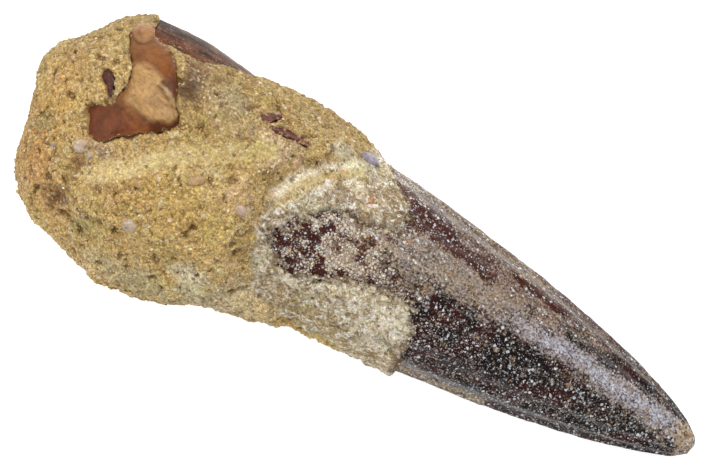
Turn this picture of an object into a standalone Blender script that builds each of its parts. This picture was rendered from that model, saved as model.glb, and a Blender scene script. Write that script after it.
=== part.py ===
# A fossil spinosaurus tooth lying on its side, with the sandstone that still holds its root.
# X runs from the broken root to the tip, Y across the tooth and Z up. Sizes are millimetres until
# a mesh is made. The crown is bare, the root sits in the stone, and broken bone and pebbles
# are set in the stone's upper face.
import math

import bmesh
import bpy
from mathutils import Vector, noise

MM = 0.001
GAP = 0.3

# The middle of the finished object's box, taken off every point so that the origin is under it.
MIDDLE_X = -0.05
MIDDLE_Y = 0.04

# Tooth: along, upper side, lower side, height of the axis
TOOTH_PROFILE = (
    (-35.0, 15.75, -9.0, 12.9),
    (-28.5, 15.65, -9.5, 12.8),
    (-24.8, 15.25, -9.7, 12.8),
    (-20.5, 14.65, -9.9, 12.7),
    (-15.0, 14.1, -9.9, 12.4),
    (-9.7, 13.6, -9.7, 11.9),
    (-2.5, 12.5, -9.2, 11.1),
    (4.8, 11.2, -8.9, 10.1),
    (12.0, 9.9, -8.4, 9.0),
    (21.5, 8.1, -7.5, 7.4),
    (31.2, 5.7, -6.0, 5.5),
    (38.4, 3.4, -4.5, 3.7),
    (43.2, 1.4, -3.2, 2.4),
    (44.6, 0.4, -2.4, 2.1),
    (45.2, -0.4, -1.7, 2.1),
)
TOOTH_TIP = (45.4, -1.0, 2.1)
DEPTH_SHARE = 0.86
FLUTES = 14
FLUTE_HEIGHT = 0.13
KEEL_HEIGHT = 0.35
KEEL_WIDTH = 0.14
CROWN_START = -6.0
CROWN_FULL = 8.0
TOOTH_SIDES = 56
POCKET_SIDES = 38
POCKET_END = 16

# Stone: along, upper side, lower side, top, bottom. The bottom runs below the resting plane,
# which then cuts a flat on it.
STONE_PROFILE = (
    (-45.3, 5.4, 3.6, 16.0, 12.0),
    (-44.6, 6.9, 2.0, 18.5, 9.0),
    (-43.8, 7.9, -1.6, 20.3, 7.0),
    (-42.8, 9.0, -7.0, 21.8, 5.2),
    (-41.0, 11.3, -9.9, 23.6, 3.2),
    (-38.5, 13.9, -12.0, 25.2, 1.0),
    (-36.0, 15.6, -12.9, 26.2, -0.8),
    (-32.4, 15.7, -14.2, 26.9, -1.2),
    (-27.6, 15.4, -15.6, 27.2, -1.2),
    (-20.4, 15.0, -14.8, 27.0, -1.2),
    (-16.9, 15.0, -13.3, 26.6, -1.2),
    (-13.3, 14.8, -12.0, 26.0, -1.2),
    (-9.6, 14.5, -11.5, 25.0, -1.1),
    (-6.0, 13.9, -10.5, 24.0, -1.0),
    (-2.4, 13.1, -10.0, 23.0, -1.0),
    (1.2, 12.2, -10.2, 22.0, -0.6),
    (4.8, 11.5, -10.0, 21.0, 0.2),
    (10.8, 10.1, -8.6, 19.0, 0.6),
    (13.2, 9.6, -8.3, 18.0, 1.0),
)
STONE_END = (-45.5, 4.5, 14.0)
STONE_ROUNDNESS = 2.5
STONE_SIDES = 46
STONE_MIDDLE = Vector((-22.0, 0.0, 13.0))
THINNED_FROM = -17.5

# Flat breaks on the stone: the way each faces, and its distance from the stone's middle
BREAKS = (
    ((-0.64, -0.10, 0.76), 18.0),
    ((-0.30, -0.72, 0.62), 16.5),
    ((-0.20, 0.60, 0.77), 17.2),
    ((0.10, -0.75, 0.65), 14.4),
    ((-0.60, 0.20, -0.77), 17.5),
    ((0.00, -0.80, -0.60), 15.0),
    ((-0.10, 0.80, -0.60), 15.2),
)

# Lumps on the stone: size of a lump, and how far it stands out
LUMPS = ((7.0, 0.60), (2.9, 0.45))

# Pits in the upper face: along, across, radius, depth
PITS = (
    (-23.5, 6.3, 0.9, 0.7),
    (-25.9, 5.8, 0.8, 0.6),
    (-35.1, -5.4, 1.3, 0.8),
    (-36.7, -8.9, 1.4, 0.9),
    (-27.6, -10.1, 1.1, 0.8),
    (-25.3, -11.9, 1.0, 0.7),
    (-20.0, -9.7, 1.1, 0.7),
    (-30.2, -11.8, 1.2, 0.7),
    (-13.6, 7.6, 1.2, 0.6),
)

# The scraped band across the upper face
BAND = ((-33.2, -6.5), (-33.2, -4.3), (-32.4, -2.3), (-30.4, -0.1), (-27.5, 2.1), (-23.8, 4.1), (-17.7, 5.9))
BAND_WIDTH = 1.5
BAND_DEPTH = 0.55

# Where the stone ends along the crown, and where it thins to a crust: angle round the tooth, along.
# The angle is 0 at the upper side, 90 on top and 180 at the lower side.
STONE_EDGE = (
    (0, -4.5), (25, -0.6), (43, 3.0), (60, 3.0), (81, 2.4), (95, 5.0), (103, 8.0), (126, 9.4), (155, 9.6),
    (180, 9.5), (210, 7.8), (240, 4.2), (270, 7.2), (300, 2.4), (330, -3.6), (360, -4.5),
)
THICK_EDGE = (
    (0, -5.0), (20, -5.6), (53, -7.1), (63, -11.0), (84, -13.6), (105, -13.4), (120, -12.6), (146, -10.9),
    (160, -6.0), (175, 2.4), (190, 3.5), (210, 0.0), (240, -7.2), (270, -4.9), (300, -8.4), (330, -9.6),
    (360, -5.0),
)
CRUST = 0.75
CRUST_NOISE = 0.35
THICK_STEP = 3.0
EDGE_RAGGED = 0.9
EDGE_BEVEL = 1.2
CUT_DEPTH = 1.5
CUT_REACH = 7.0

# The bare window in the crust, which opens on the crown
WINDOW_OUTLINE = (
    (-10.7, -2.2), (-9.9, -1.1), (-9.2, 0.6), (-7.9, 2.3), (-6.7, 4.2), (-4.8, 5.2), (-2.7, 5.1),
    (-0.2, 5.5), (1.9, 6.6), (11.8, 5.7), (11.3, -1.3), (6.6, -0.6), (4.3, -0.8), (1.9, -1.3),
    (-1.1, -2.1), (-3.7, -3.6), (-5.8, -4.8), (-7.6, -5.3), (-9.0, -4.9), (-10.2, -3.7),
)
WINDOW_HEIGHTS = (12.0, 32.0)
WINDOW_FLARE = 0.3
WELD_DISTANCE = 0.00002

# The bare strip of root wall at the upper side: along, and across to the stone's upright broken
# face above it. The strip ends below at one angle.
STRIP = (
    (-35.7, 12.8), (-31.1, 13.2), (-28.4, 13.2), (-26.0, 13.8), (-24.3, 14.3), (-21.5, 14.7), (-19.0, 15.6),
)
STRIP_FOOT = -58.0
STRIP_HEAD = (-8.0, 60.0)
STRIP_SIDES = 10
STRIP_REACH = 24.0
STRIP_TOP = 32.0

AMBER_OUTLINE = (
    (-36.8, 11.7), (-34.9, 12.7), (-32.8, 13.2), (-30.8, 12.9), (-30.0, 11.3), (-29.0, 9.3), (-28.3, 7.7),
    (-27.3, 5.7), (-28.0, 4.0), (-31.4, 1.9), (-33.2, 0.5), (-34.8, -0.8), (-36.7, -0.6), (-38.0, 0.9),
    (-38.2, 2.4), (-36.0, 3.7), (-35.1, 4.8), (-34.8, 7.0), (-35.3, 9.2), (-36.5, 10.5),
)
PURPLE_OUTLINE = (
    (-38.6, 6.3), (-38.1, 7.7), (-37.3, 7.7), (-36.6, 6.7), (-36.3, 5.6), (-36.5, 4.7), (-37.3, 5.0), (-38.0, 5.5),
)
UPPER_SLIVER_OUTLINE = ((-19.0, 10.9), (-17.8, 11.7), (-16.6, 12.2), (-16.3, 11.8), (-17.2, 11.0), (-18.1, 10.3))
LOWER_SLIVER_OUTLINE = (
    (-17.3, 9.8), (-16.1, 10.3), (-14.7, 10.5), (-13.4, 10.4), (-12.2, 10.2), (-12.5, 9.6), (-14.0, 9.4), (-15.8, 9.4),
)
# name, outline, the point it spreads from, thickness, how far its middle stands proud
FRAGMENTS = (
    ("amber_fragment", AMBER_OUTLINE, (-32.4, 4.8), 1.7, 0.45),
    ("purple_fragment", PURPLE_OUTLINE, (-37.3, 6.2), 1.2, 0.25),
    ("upper_sliver", UPPER_SLIVER_OUTLINE, (-17.5, 11.2), 0.9, 0.15),
    ("lower_sliver", LOWER_SLIVER_OUTLINE, (-14.7, 9.95), 0.9, 0.15),
)
FRAGMENT_RINGS = ((1.0, 0.0), (0.93, 0.35), (0.66, 0.75), (0.33, 0.95))
FRAGMENT_FOOT = 0.9

# name, along, across, long radius, short radius, turn
PEBBLES = (
    ("quartz_pebble", -36.3, -2.1, 1.15, 0.90, 40.0),
    ("grey_pebble", -27.0, -8.0, 1.15, 0.85, -20.0),
    ("green_pebble", -32.4, -9.3, 0.80, 0.65, 10.0),
    ("pink_pebble", -22.3, 0.3, 1.20, 0.75, 30.0),
    ("lilac_pebble", -16.1, -0.4, 0.95, 0.75, 0.0),
)
PEBBLE_HEIGHT = 0.8

COLOURS = {
    "tooth": ((0.060, 0.030, 0.028), 0.35),
    "matrix": ((0.45, 0.30, 0.12), 0.95),
    "amber_fragment": ((0.40, 0.20, 0.08), 0.40),
    "purple_fragment": ((0.10, 0.04, 0.04), 0.45),
    "upper_sliver": ((0.10, 0.04, 0.04), 0.55),
    "lower_sliver": ((0.10, 0.04, 0.04), 0.55),
    "quartz_pebble": ((0.50, 0.42, 0.38), 0.30),
    "grey_pebble": ((0.35, 0.32, 0.36), 0.30),
    "green_pebble": ((0.16, 0.15, 0.10), 0.35),
    "pink_pebble": ((0.42, 0.28, 0.22), 0.35),
    "lilac_pebble": ((0.40, 0.33, 0.35), 0.35),
}


def smooth_step(value):
    value = min(1.0, max(0.0, value))
    return value * value * (3.0 - 2.0 * value)


def along_table(table, place, column):
    """The value of a table's column at a place, on a smooth curve through its rows."""
    last = len(table) - 1
    i = 0
    while i < last - 1 and table[i + 1][0] < place:
        i += 1

    def slope(k):
        before, after = table[max(0, k - 1)], table[min(last, k + 1)]
        return (after[column] - before[column]) / (after[0] - before[0])

    start, end = table[i], table[i + 1]
    span = end[0] - start[0]
    t = min(1.0, max(0.0, (place - start[0]) / span))
    rise = t * t * (3.0 - 2.0 * t)
    into = t * (1.0 - t) ** 2
    out = t * t * (t - 1.0)
    return (
        start[column] * (1.0 - rise)
        + end[column] * rise
        + span * (slope(i) * into + slope(i + 1) * out)
    )


def round_table(table, degrees):
    """The value at an angle of a table whose first and last rows are the same place."""
    degrees %= 360.0
    for (a, low), (b, high) in zip(table, table[1:]):
        if degrees <= b:
            return low + (high - low) * smooth_step((degrees - a) / (b - a))
    return table[-1][1]


def tooth_section(x):
    """The tooth's axis and its half width and half depth at a place along it."""
    upper, lower, height = (along_table(TOOTH_PROFILE, x, c) for c in (1, 2, 3))
    half = (upper - lower) / 2.0
    return (upper + lower) / 2.0, height, half, half * DEPTH_SHARE


def tooth_radius(x, angle, section):
    """How far the tooth's wall stands from its axis, with its flutes and its two keels."""
    _, _, half, depth = section
    base = 1.0 / math.hypot(math.cos(angle) / half, math.sin(angle) / depth)
    crown = smooth_step((x - CROWN_START) / (CROWN_FULL - CROWN_START))
    slim = min(1.0, half / 5.0)
    flutes = FLUTE_HEIGHT * crown * slim * math.cos(FLUTES * angle)
    off_keel = abs(math.asin(max(-1.0, min(1.0, math.sin(angle)))))
    keel = KEEL_HEIGHT * crown * slim * math.exp(-((off_keel / KEEL_WIDTH) ** 2))
    grain = 0.22 * (1.0 - crown) * noise.noise(Vector((x * 0.12, math.cos(angle) * 3.0, math.sin(angle) * 3.0)))
    return base + flutes + keel + grain


def tooth_rings(stations, sides, grow=0.0):
    rings = []
    for x in stations:
        section = tooth_section(x)
        ring = []
        for k in range(sides):
            angle = 2.0 * math.pi * k / sides
            radius = tooth_radius(x, angle, section) + grow
            ring.append((x, section[0] + radius * math.cos(angle), section[1] + radius * math.sin(angle)))
        rings.append(ring)
    return rings


def tooth_stations():
    root = [-35.0 + 3.9 * i for i in range(9)]
    crown = [-0.3 + 2.7 * i for i in range(17)]
    return root + crown + [44.3, 44.9, 45.2]


def band_distance(x, y):
    """How far a point is from the middle of the scraped band, seen from above."""
    best = 1e9
    for (ax, ay), (bx, by) in zip(BAND, BAND[1:]):
        dx, dy = bx - ax, by - ay
        t = min(1.0, max(0.0, ((x - ax) * dx + (y - ay) * dy) / (dx * dx + dy * dy)))
        best = min(best, math.hypot(x - ax - t * dx, y - ay - t * dy))
    return best


def broken_flat(point):
    """The point pushed back onto each flat break that it stands in front of."""
    for facing, distance in BREAKS:
        normal = Vector(facing).normalized()
        over = (point - STONE_MIDDLE).dot(normal) - distance
        if over > 0.0:
            point = point - normal * over
    return point


def stone_relief(point, top):
    """How far the stone's surface stands out at a point: lumps, pits and the scraped band."""
    relief = sum(height * noise.noise(point / size) for size, height in LUMPS)
    if top <= 0.0:
        return relief
    band = math.exp(-((band_distance(point.x, point.y) / BAND_WIDTH) ** 2)) * top
    relief = relief * (1.0 - 0.6 * band) - BAND_DEPTH * band
    for x, y, radius, depth in PITS:
        off = math.hypot(point.x - x, point.y - y) / radius
        relief -= depth * top * math.exp(-off * off)
    return relief


def stone_point(x, angle):
    """A point of the stone's outer surface, at an angle round its own middle."""
    upper, lower, top, bottom = (along_table(STONE_PROFILE, x, c) for c in (1, 2, 3, 4))
    power = 2.0 / STONE_ROUNDNESS
    across = math.copysign(abs(math.cos(angle)) ** power, math.cos(angle))
    up = math.copysign(abs(math.sin(angle)) ** power, math.sin(angle))
    middle = Vector((x, (upper + lower) / 2.0, (top + bottom) / 2.0))
    point = Vector((x, middle.y + (upper - lower) / 2.0 * across, middle.z + (top - bottom) / 2.0 * up))
    point = broken_flat(point)
    outward = (point - middle).normalized()
    point = point + outward * stone_relief(point, up)
    if x > THINNED_FROM:
        point = thinned_to_crust(point)
    point.z = max(0.0, point.z)
    return point


def thinned_to_crust(point):
    """The point moved in towards the tooth's axis, where the stone is only a crust on the tooth."""
    section = tooth_section(point.x)
    dy, dz = point.y - section[0], point.z - section[1]
    angle = math.atan2(dz, dy)
    wall = tooth_radius(point.x, angle, section)
    thickness = max(CRUST, math.hypot(dy, dz) - wall)
    thick = smooth_step((round_table(THICK_EDGE, math.degrees(angle)) - point.x) / THICK_STEP)
    crust = CRUST + CRUST_NOISE * noise.noise(point / 1.9)
    radius = wall + crust + (thickness - CRUST) * thick
    return Vector((point.x, section[0] + radius * math.cos(angle), section[1] + radius * math.sin(angle)))


def stone_stations():
    end = [-45.3, -44.9, -44.3, -43.6, -42.8, -41.8, -40.6, -39.2, -37.7, -36.3]
    return end + [-34.8 + 1.6 * i for i in range(31)]


def stone_rings():
    rings = []
    for x in stone_stations():
        rings.append([stone_point(x, 2.0 * math.pi * k / STONE_SIDES) for k in range(STONE_SIDES)])
    return rings


def top_of_stone(x, y):
    """The height of the stone's upper face, without its small relief."""
    upper, lower, top, bottom = (along_table(STONE_PROFILE, x, c) for c in (1, 2, 3, 4))
    off = min(1.0, abs(y - (upper + lower) / 2.0) / ((upper - lower) / 2.0))
    rise = (1.0 - off**STONE_ROUNDNESS) ** (1.0 / STONE_ROUNDNESS)
    height = (top + bottom) / 2.0 + (top - bottom) / 2.0 * rise
    for facing, distance in BREAKS:
        normal = Vector(facing).normalized()
        if normal.z > 0.0:
            flat = normal.x * (x - STONE_MIDDLE.x) + normal.y * (y - STONE_MIDDLE.y)
            height = min(height, STONE_MIDDLE.z + (distance - flat) / normal.z)
    return height


def shell_of_rings(rings, start=None, end=None):
    """A closed mesh through rings of points; each end is closed by a point or by a flat face."""
    mesh = bmesh.new()
    made = [[mesh.verts.new(p) for p in ring] for ring in rings]
    for a, b in zip(made, made[1:]):
        for k in range(len(a)):
            n = (k + 1) % len(a)
            mesh.faces.new((a[k], a[n], b[n], b[k]))
    for ring, point in ((made[0], start), (made[-1], end)):
        if point is None:
            mesh.faces.new(ring)
            continue
        pole = mesh.verts.new(point)
        for k in range(len(ring)):
            mesh.faces.new((ring[k], ring[(k + 1) % len(ring)], pole))
    bmesh.ops.recalc_face_normals(mesh, faces=mesh.faces)
    return mesh


def make_object(name, mesh, cutter=False):
    """An object from a bmesh in millimetres, with its material, or a hidden cutter."""
    for vertex in mesh.verts:
        vertex.co = (vertex.co - Vector((MIDDLE_X, MIDDLE_Y, 0.0))) * MM
    data = bpy.data.meshes.new(name)
    mesh.to_mesh(data)
    mesh.free()
    made = bpy.data.objects.new(name, data)
    bpy.context.scene.collection.objects.link(made)
    if cutter:
        made.hide_render = True
        made.display_type = "WIRE"
        return made
    data.shade_smooth()
    data.set_sharp_from_angle(angle=math.radians(40.0))
    colour, roughness = COLOURS[name]
    material = bpy.data.materials.new(name)
    material.use_nodes = True
    surface = material.node_tree.nodes["Principled BSDF"]
    surface.inputs["Base Color"].default_value = (*colour, 1.0)
    surface.inputs["Roughness"].default_value = roughness
    surface.inputs["Metallic"].default_value = 0.0
    data.materials.append(material)
    return made


def grown_outline(outline, by):
    """An outline with every corner moved outwards, square to its two neighbours."""
    turn = sum(a[0] * b[1] - b[0] * a[1] for a, b in zip(outline, outline[1:] + outline[:1]))
    side = math.copysign(by, turn)
    grown = []
    for i, (x, y) in enumerate(outline):
        before, after = outline[i - 1], outline[(i + 1) % len(outline)]
        run = math.hypot(after[0] - before[0], after[1] - before[1])
        grown.append((x + side * (after[1] - before[1]) / run, y - side * (after[0] - before[0]) / run))
    return tuple(grown)


def crown_end_mesh():
    """The space in front of the stone's ragged end, down to the tooth."""
    rings = []
    for out, back in ((None, 0.0), (-CUT_DEPTH, 0.0), (0.0, 0.0), (CUT_DEPTH, EDGE_BEVEL), (CUT_REACH, EDGE_BEVEL)):
        ring = []
        for k in range(STONE_SIDES):
            angle = 2.0 * math.pi * k / STONE_SIDES
            ragged = EDGE_RAGGED * noise.noise(Vector((math.cos(angle) * 3.2, math.sin(angle) * 3.2, 4.0)))
            x = round_table(STONE_EDGE, math.degrees(angle)) + ragged - back
            section = tooth_section(x)
            radius = 1.0 if out is None else tooth_radius(x, angle, section) + out
            ring.append((x, section[0] + radius * math.cos(angle), section[1] + radius * math.sin(angle)))
        rings.append(ring)
    rings.append([(18.0, y, z) for _, y, z in rings[-1]])
    return shell_of_rings(rings)


def window_mesh():
    """The space over the bare window in the crust, wider above."""
    wide = grown_outline(WINDOW_OUTLINE, WINDOW_FLARE)
    rings = [[(x, y, z) for x, y in outline] for outline, z in zip((WINDOW_OUTLINE, wide), WINDOW_HEIGHTS)]
    return shell_of_rings(rings)


def strip_head(x, face, section):
    """The angle round the tooth at which its wall passes under the stone's upright face."""
    degrees = STRIP_HEAD[1]
    while degrees > STRIP_HEAD[0]:
        angle = math.radians(degrees)
        if section[0] + tooth_radius(x, angle, section) * math.cos(angle) >= face:
            break
        degrees -= 0.5
    return degrees


def strip_mesh():
    """The space outside the bare strip of root wall, with an upright face above its upper edge."""
    rings = []
    for x, face in STRIP:
        section = tooth_section(x)
        span = strip_head(x, face, section) - STRIP_FOOT
        angles = [math.radians(STRIP_FOOT + span * k / STRIP_SIDES) for k in range(STRIP_SIDES + 1)]
        path = [(tooth_radius(x, angle, section) - CUT_DEPTH, angle) for angle in angles]
        ring = [(x, section[0] + r * math.cos(angle), section[1] + r * math.sin(angle)) for r, angle in path]
        wall, angle = path[-1][0] + CUT_DEPTH, angles[-1]
        ring.append((x, face, section[1] + wall * math.sin(angle)))
        ring.append((x, face, STRIP_TOP))
        ring.append((x, section[0] + STRIP_REACH, STRIP_TOP))
        ring.append((x, section[0] + STRIP_REACH, section[1]))
        far, foot = path[0][0] + CUT_DEPTH + CUT_REACH, angles[0]
        ring.append((x, section[0] + far * math.cos(foot), section[1] + far * math.sin(foot)))
        rings.append(ring)
    return shell_of_rings(rings)


def fragment_mesh(outline, heart, thickness, proud):
    """A slab of bone whose domed top follows the stone's upper face."""
    rings = []
    foot = []
    for x, y in outline:
        foot_x = heart[0] + (x - heart[0]) * FRAGMENT_FOOT
        foot_y = heart[1] + (y - heart[1]) * FRAGMENT_FOOT
        foot.append((foot_x, foot_y, top_of_stone(foot_x, foot_y) - thickness))
    rings.append(foot)
    for share, rise in FRAGMENT_RINGS:
        ring = []
        for x, y in outline:
            px, py = heart[0] + (x - heart[0]) * share, heart[1] + (y - heart[1]) * share
            ring.append((px, py, top_of_stone(px, py) + proud * rise))
        rings.append(ring)
    centre = (*heart, top_of_stone(*heart) + proud)
    under = (*heart, top_of_stone(*heart) - thickness)
    return shell_of_rings(rings, start=under, end=centre)


def fragment_pocket(outline, heart, thickness):
    """The space a fragment takes in the stone, with the gap round it, open above."""
    wide = grown_outline(outline, GAP)
    rings = []
    for lift in (-thickness - GAP, 4.0):
        rings.append([(x, y, top_of_stone(x, y) + lift) for x, y in wide])
    under = (*heart, top_of_stone(*heart) - thickness - GAP)
    over = (*heart, top_of_stone(*heart) + 4.0)
    return shell_of_rings(rings, start=under, end=over)


def pebble_mesh(x, y, long_radius, short_radius, turn, grow):
    """A worn pebble whose middle lies at the stone's surface."""
    mesh = bmesh.new()
    bmesh.ops.create_icosphere(mesh, subdivisions=2, radius=1.0)
    cos, sin = math.cos(math.radians(turn)), math.sin(math.radians(turn))
    height = top_of_stone(x, y)
    for vertex in mesh.verts:
        worn = 1.0 + 0.16 * noise.noise(vertex.co * 1.3 + Vector((x, y, 0.0)))
        a = vertex.co.x * (long_radius * worn + grow)
        b = vertex.co.y * (short_radius * worn + grow)
        up = vertex.co.z * (short_radius * PEBBLE_HEIGHT * worn + grow)
        vertex.co = (x + a * cos - b * sin, y + a * sin + b * cos, height - 0.15 + up)
    return mesh


def cut(target, cutter):
    modifier = target.modifiers.new("Cut_" + cutter.name, "BOOLEAN")
    modifier.operation = "DIFFERENCE"
    modifier.object = cutter


def build():
    for existing in list(bpy.data.objects):
        bpy.data.objects.remove(existing)

    # Tooth, and the pocket that it fills in the stone once all else is cut
    make_object("tooth", shell_of_rings(tooth_rings(tooth_stations(), TOOTH_SIDES), end=TOOTH_TIP))
    pocket_rings = tooth_rings([-35.3] + tooth_stations()[1:POCKET_END], POCKET_SIDES, GAP)
    pocket = make_object("Tooth_pocket", shell_of_rings(pocket_rings), cutter=True)

    # Stone
    stone = make_object("matrix", shell_of_rings(stone_rings(), start=STONE_END))
    cut(stone, make_object("Window", window_mesh(), cutter=True))
    cut(stone, make_object("Strip", strip_mesh(), cutter=True))
    cut(stone, make_object("Crown_end", crown_end_mesh(), cutter=True))

    # Broken bone set in the stone
    for name, outline, heart, thickness, proud in FRAGMENTS:
        make_object(name, fragment_mesh(outline, heart, thickness, proud))
        hole = make_object(name + "_pocket", fragment_pocket(outline, heart, thickness), cutter=True)
        cut(stone, hole)

    # Pebbles set in the stone
    for name, *shape in PEBBLES:
        make_object(name, pebble_mesh(*shape, 0.0))
        cut(stone, make_object(name + "_pocket", pebble_mesh(*shape, GAP), cutter=True))
    cut(stone, pocket)
    weld = stone.modifiers.new("Close_points", "WELD")
    weld.merge_threshold = WELD_DISTANCE
    stone.modifiers.new("Triangles", "TRIANGULATE")


build()
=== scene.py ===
import itertools
import math

import bpy
import numpy as np
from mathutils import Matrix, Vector, noise


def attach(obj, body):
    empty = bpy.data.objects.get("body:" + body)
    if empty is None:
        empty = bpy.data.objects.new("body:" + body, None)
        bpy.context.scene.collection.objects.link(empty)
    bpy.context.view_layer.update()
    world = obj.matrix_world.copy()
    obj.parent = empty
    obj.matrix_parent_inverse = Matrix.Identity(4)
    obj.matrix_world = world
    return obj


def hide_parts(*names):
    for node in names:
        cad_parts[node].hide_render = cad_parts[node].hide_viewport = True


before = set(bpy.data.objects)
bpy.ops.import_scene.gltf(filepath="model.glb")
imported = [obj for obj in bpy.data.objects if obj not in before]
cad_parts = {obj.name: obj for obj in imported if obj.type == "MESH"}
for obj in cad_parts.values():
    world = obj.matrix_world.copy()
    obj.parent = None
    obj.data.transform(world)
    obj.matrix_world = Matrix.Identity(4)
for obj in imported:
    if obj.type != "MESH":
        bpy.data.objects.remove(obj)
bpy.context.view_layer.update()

MM = 0.001
# What the solids' origin is moved by, to lie under the middle of their box
MIDDLE = np.array((-0.05, 0.04, 0))
SPACING = 0.3
# A distance that counts as far away
FAR = 9

# The tooth, as in the solids: along, upper edge, lower edge and height of its axis
TOOTH_PROFILE = (
    (-35, 15.75, -9, 12.9), (-28.5, 15.65, -9.5, 12.8), (-24.8, 15.25, -9.7, 12.8), (-20.5, 14.65, -9.9, 12.7),
    (-15, 14.1, -9.9, 12.4), (-9.7, 13.6, -9.7, 11.9), (-2.5, 12.5, -9.2, 11.1), (4.8, 11.2, -8.9, 10.1),
    (12, 9.9, -8.4, 9), (21.5, 8.1, -7.5, 7.4), (31.2, 5.7, -6, 5.5), (38.4, 3.4, -4.5, 3.7), (43.2, 1.4, -3.2, 2.4),
    (44.6, 0.4, -2.4, 2.1), (45.2, 0, -2, 2.1),
)
TOOTH_TIP = (45.55, -0.8, 2.1)
DEPTH_SHARE = 0.86
TOOTH_SIDES = 252
FLUTES = 14
FLUTE_HEIGHT = 0.13
KEEL_HEIGHT = 0.35
KEEL_WIDTH = 0.14
CROWN_START = -6
CROWN_FULL = 8
# The stone, as in the solids: along, upper edge, lower edge, top and bottom
STONE_PROFILE = (
    (-45.3, 5.4, 3.6, 16, 12), (-44.6, 6.9, 2, 18.5, 9), (-43.8, 7.9, -1.6, 20.3, 7), (-42.8, 9, -7, 21.8, 5.2),
    (-41, 11.3, -9.9, 23.6, 3.2), (-38.5, 13.9, -12, 25.2, 1), (-36, 15.6, -12.9, 26.2, -0.8),
    (-32.4, 15.7, -14.2, 26.9, -1.2), (-27.6, 15.4, -15.6, 27.2, -1.2), (-20.4, 15, -14.8, 27, -1.2),
    (-16.9, 15, -13.3, 26.6, -1.2), (-13.3, 14.8, -12, 26, -1.2), (-9.6, 14.5, -11.5, 25, -1.1),
    (-6, 13.9, -10.5, 24, -1), (-2.4, 13.1, -10, 23, -1), (1.2, 12.2, -10.2, 22, -0.6), (4.8, 11.5, -10, 21, 0.2),
    (10.8, 10.1, -8.6, 19, 0.6), (13.2, 9.6, -8.3, 18, 1),
)
STONE_END = (-45.5, 4.5, 14)
STONE_ROUNDNESS = 2.5
STONE_GIRTH = 88
STONE_MIDDLE = np.array((-22, 0, 13))
THINNED_FROM = -17.5
# Flat broken faces: the way that each one faces, and how far it is from the stone's middle
BREAKS = (
    ((-0.64, -0.1, 0.76), 18), ((-0.3, -0.72, 0.62), 16.5), ((-0.2, 0.6, 0.77), 17.2), ((0.1, -0.75, 0.65), 14.4),
    ((-0.6, 0.2, -0.77), 17.5), ((0, -0.8, -0.6), 15), ((-0.1, 0.8, -0.6), 15.2),
)
# Sizes and heights of the large lumps, then the pits: along, across, radius and depth
LUMPS = ((7, 0.6), (2.9, 0.45))
PITS = (
    (-23.5, 6.3, 0.9, 0.7), (-25.9, 5.8, 0.8, 0.6), (-35.1, -5.4, 1.3, 0.8), (-36.7, -8.9, 1.4, 0.9),
    (-27.6, -10.1, 1.1, 0.8), (-25.3, -11.9, 1, 0.7), (-20, -9.7, 1.1, 0.7), (-30.2, -11.8, 1.2, 0.7),
    (-13.6, 7.6, 1.2, 0.6),
)
# The shallow groove's middle line, and the pale fine-grained band that runs along its lower side
BAND = ((-33.2, -6.5), (-33.2, -4.3), (-32.4, -2.3), (-30.4, -0.1), (-27.5, 2.1), (-23.8, 4.1), (-17.7, 5.9))
PALE_BAND = (
    (-33.6, -5.3), (-32.4, -3.6), (-30.4, -2.4), (-28.3, -0.4), (-26.4, 1.3), (-23.4, 3.4), (-20.5, 5.2), (-17.6, 7),
    (-16, 7.7),
)
BAND_WIDTH = 1.5
BAND_DEPTH = 0.55
# How far the stone and its thick part reach along the tooth, at each angle round it
STONE_EDGE = (
    (0, -4.5), (25, -0.6), (43, 3), (60, 3), (81, 2.4), (95, 5), (103, 8), (126, 9.4), (155, 9.6), (180, 9.5),
    (210, 7.8), (240, 4.2), (270, 7.2), (300, 2.4), (330, -3.6), (360, -4.5),
)
THICK_EDGE = (
    (0, -5), (20, -5.6), (53, -7.1), (63, -11), (84, -13.6), (105, -13.4), (120, -12.6), (146, -10.9), (160, -6),
    (175, 2.4), (190, 3.5), (210, 0), (240, -7.2), (270, -4.9), (300, -8.4), (330, -9.6), (360, -5),
)
CRUST = 0.75
CRUST_NOISE = 0.35
THICK_STEP = 3
EDGE_STEP = 0.5
LONG_EDGE_STEP = 2
# How far the stone's surface goes below the enamel where the stone ends
BELOW_TOOTH = 0.9
WINDOW_OUTLINE = (
    (-10.7, -2.2), (-9.9, -1.1), (-9.2, 0.6), (-7.9, 2.3), (-6.7, 4.2), (-4.8, 5.2), (-2.7, 5.1), (-0.2, 5.5),
    (1.9, 6.6), (11.8, 5.7), (11.3, -1.3), (6.6, -0.6), (4.3, -0.8), (1.9, -1.3), (-1.1, -2.1), (-3.7, -3.6),
    (-5.8, -4.8), (-7.6, -5.3), (-9, -4.9), (-10.2, -3.7),
)
# The bare strip of root wall: its edge towards the stone, the angle of its foot, and the root's radius there
STRIP_EDGE = (
    (-35.3, 18), (-34.9, 13.2), (-34.3, 13.1), (-31.1, 13.2), (-28.4, 13.2), (-26, 13.8), (-24.3, 14.3),
    (-21.5, 14.7), (-19, 15.6), (-18.4, 18),
)
STRIP_FOOT = -58
ROOT_RADIUS = 12.3
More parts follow.
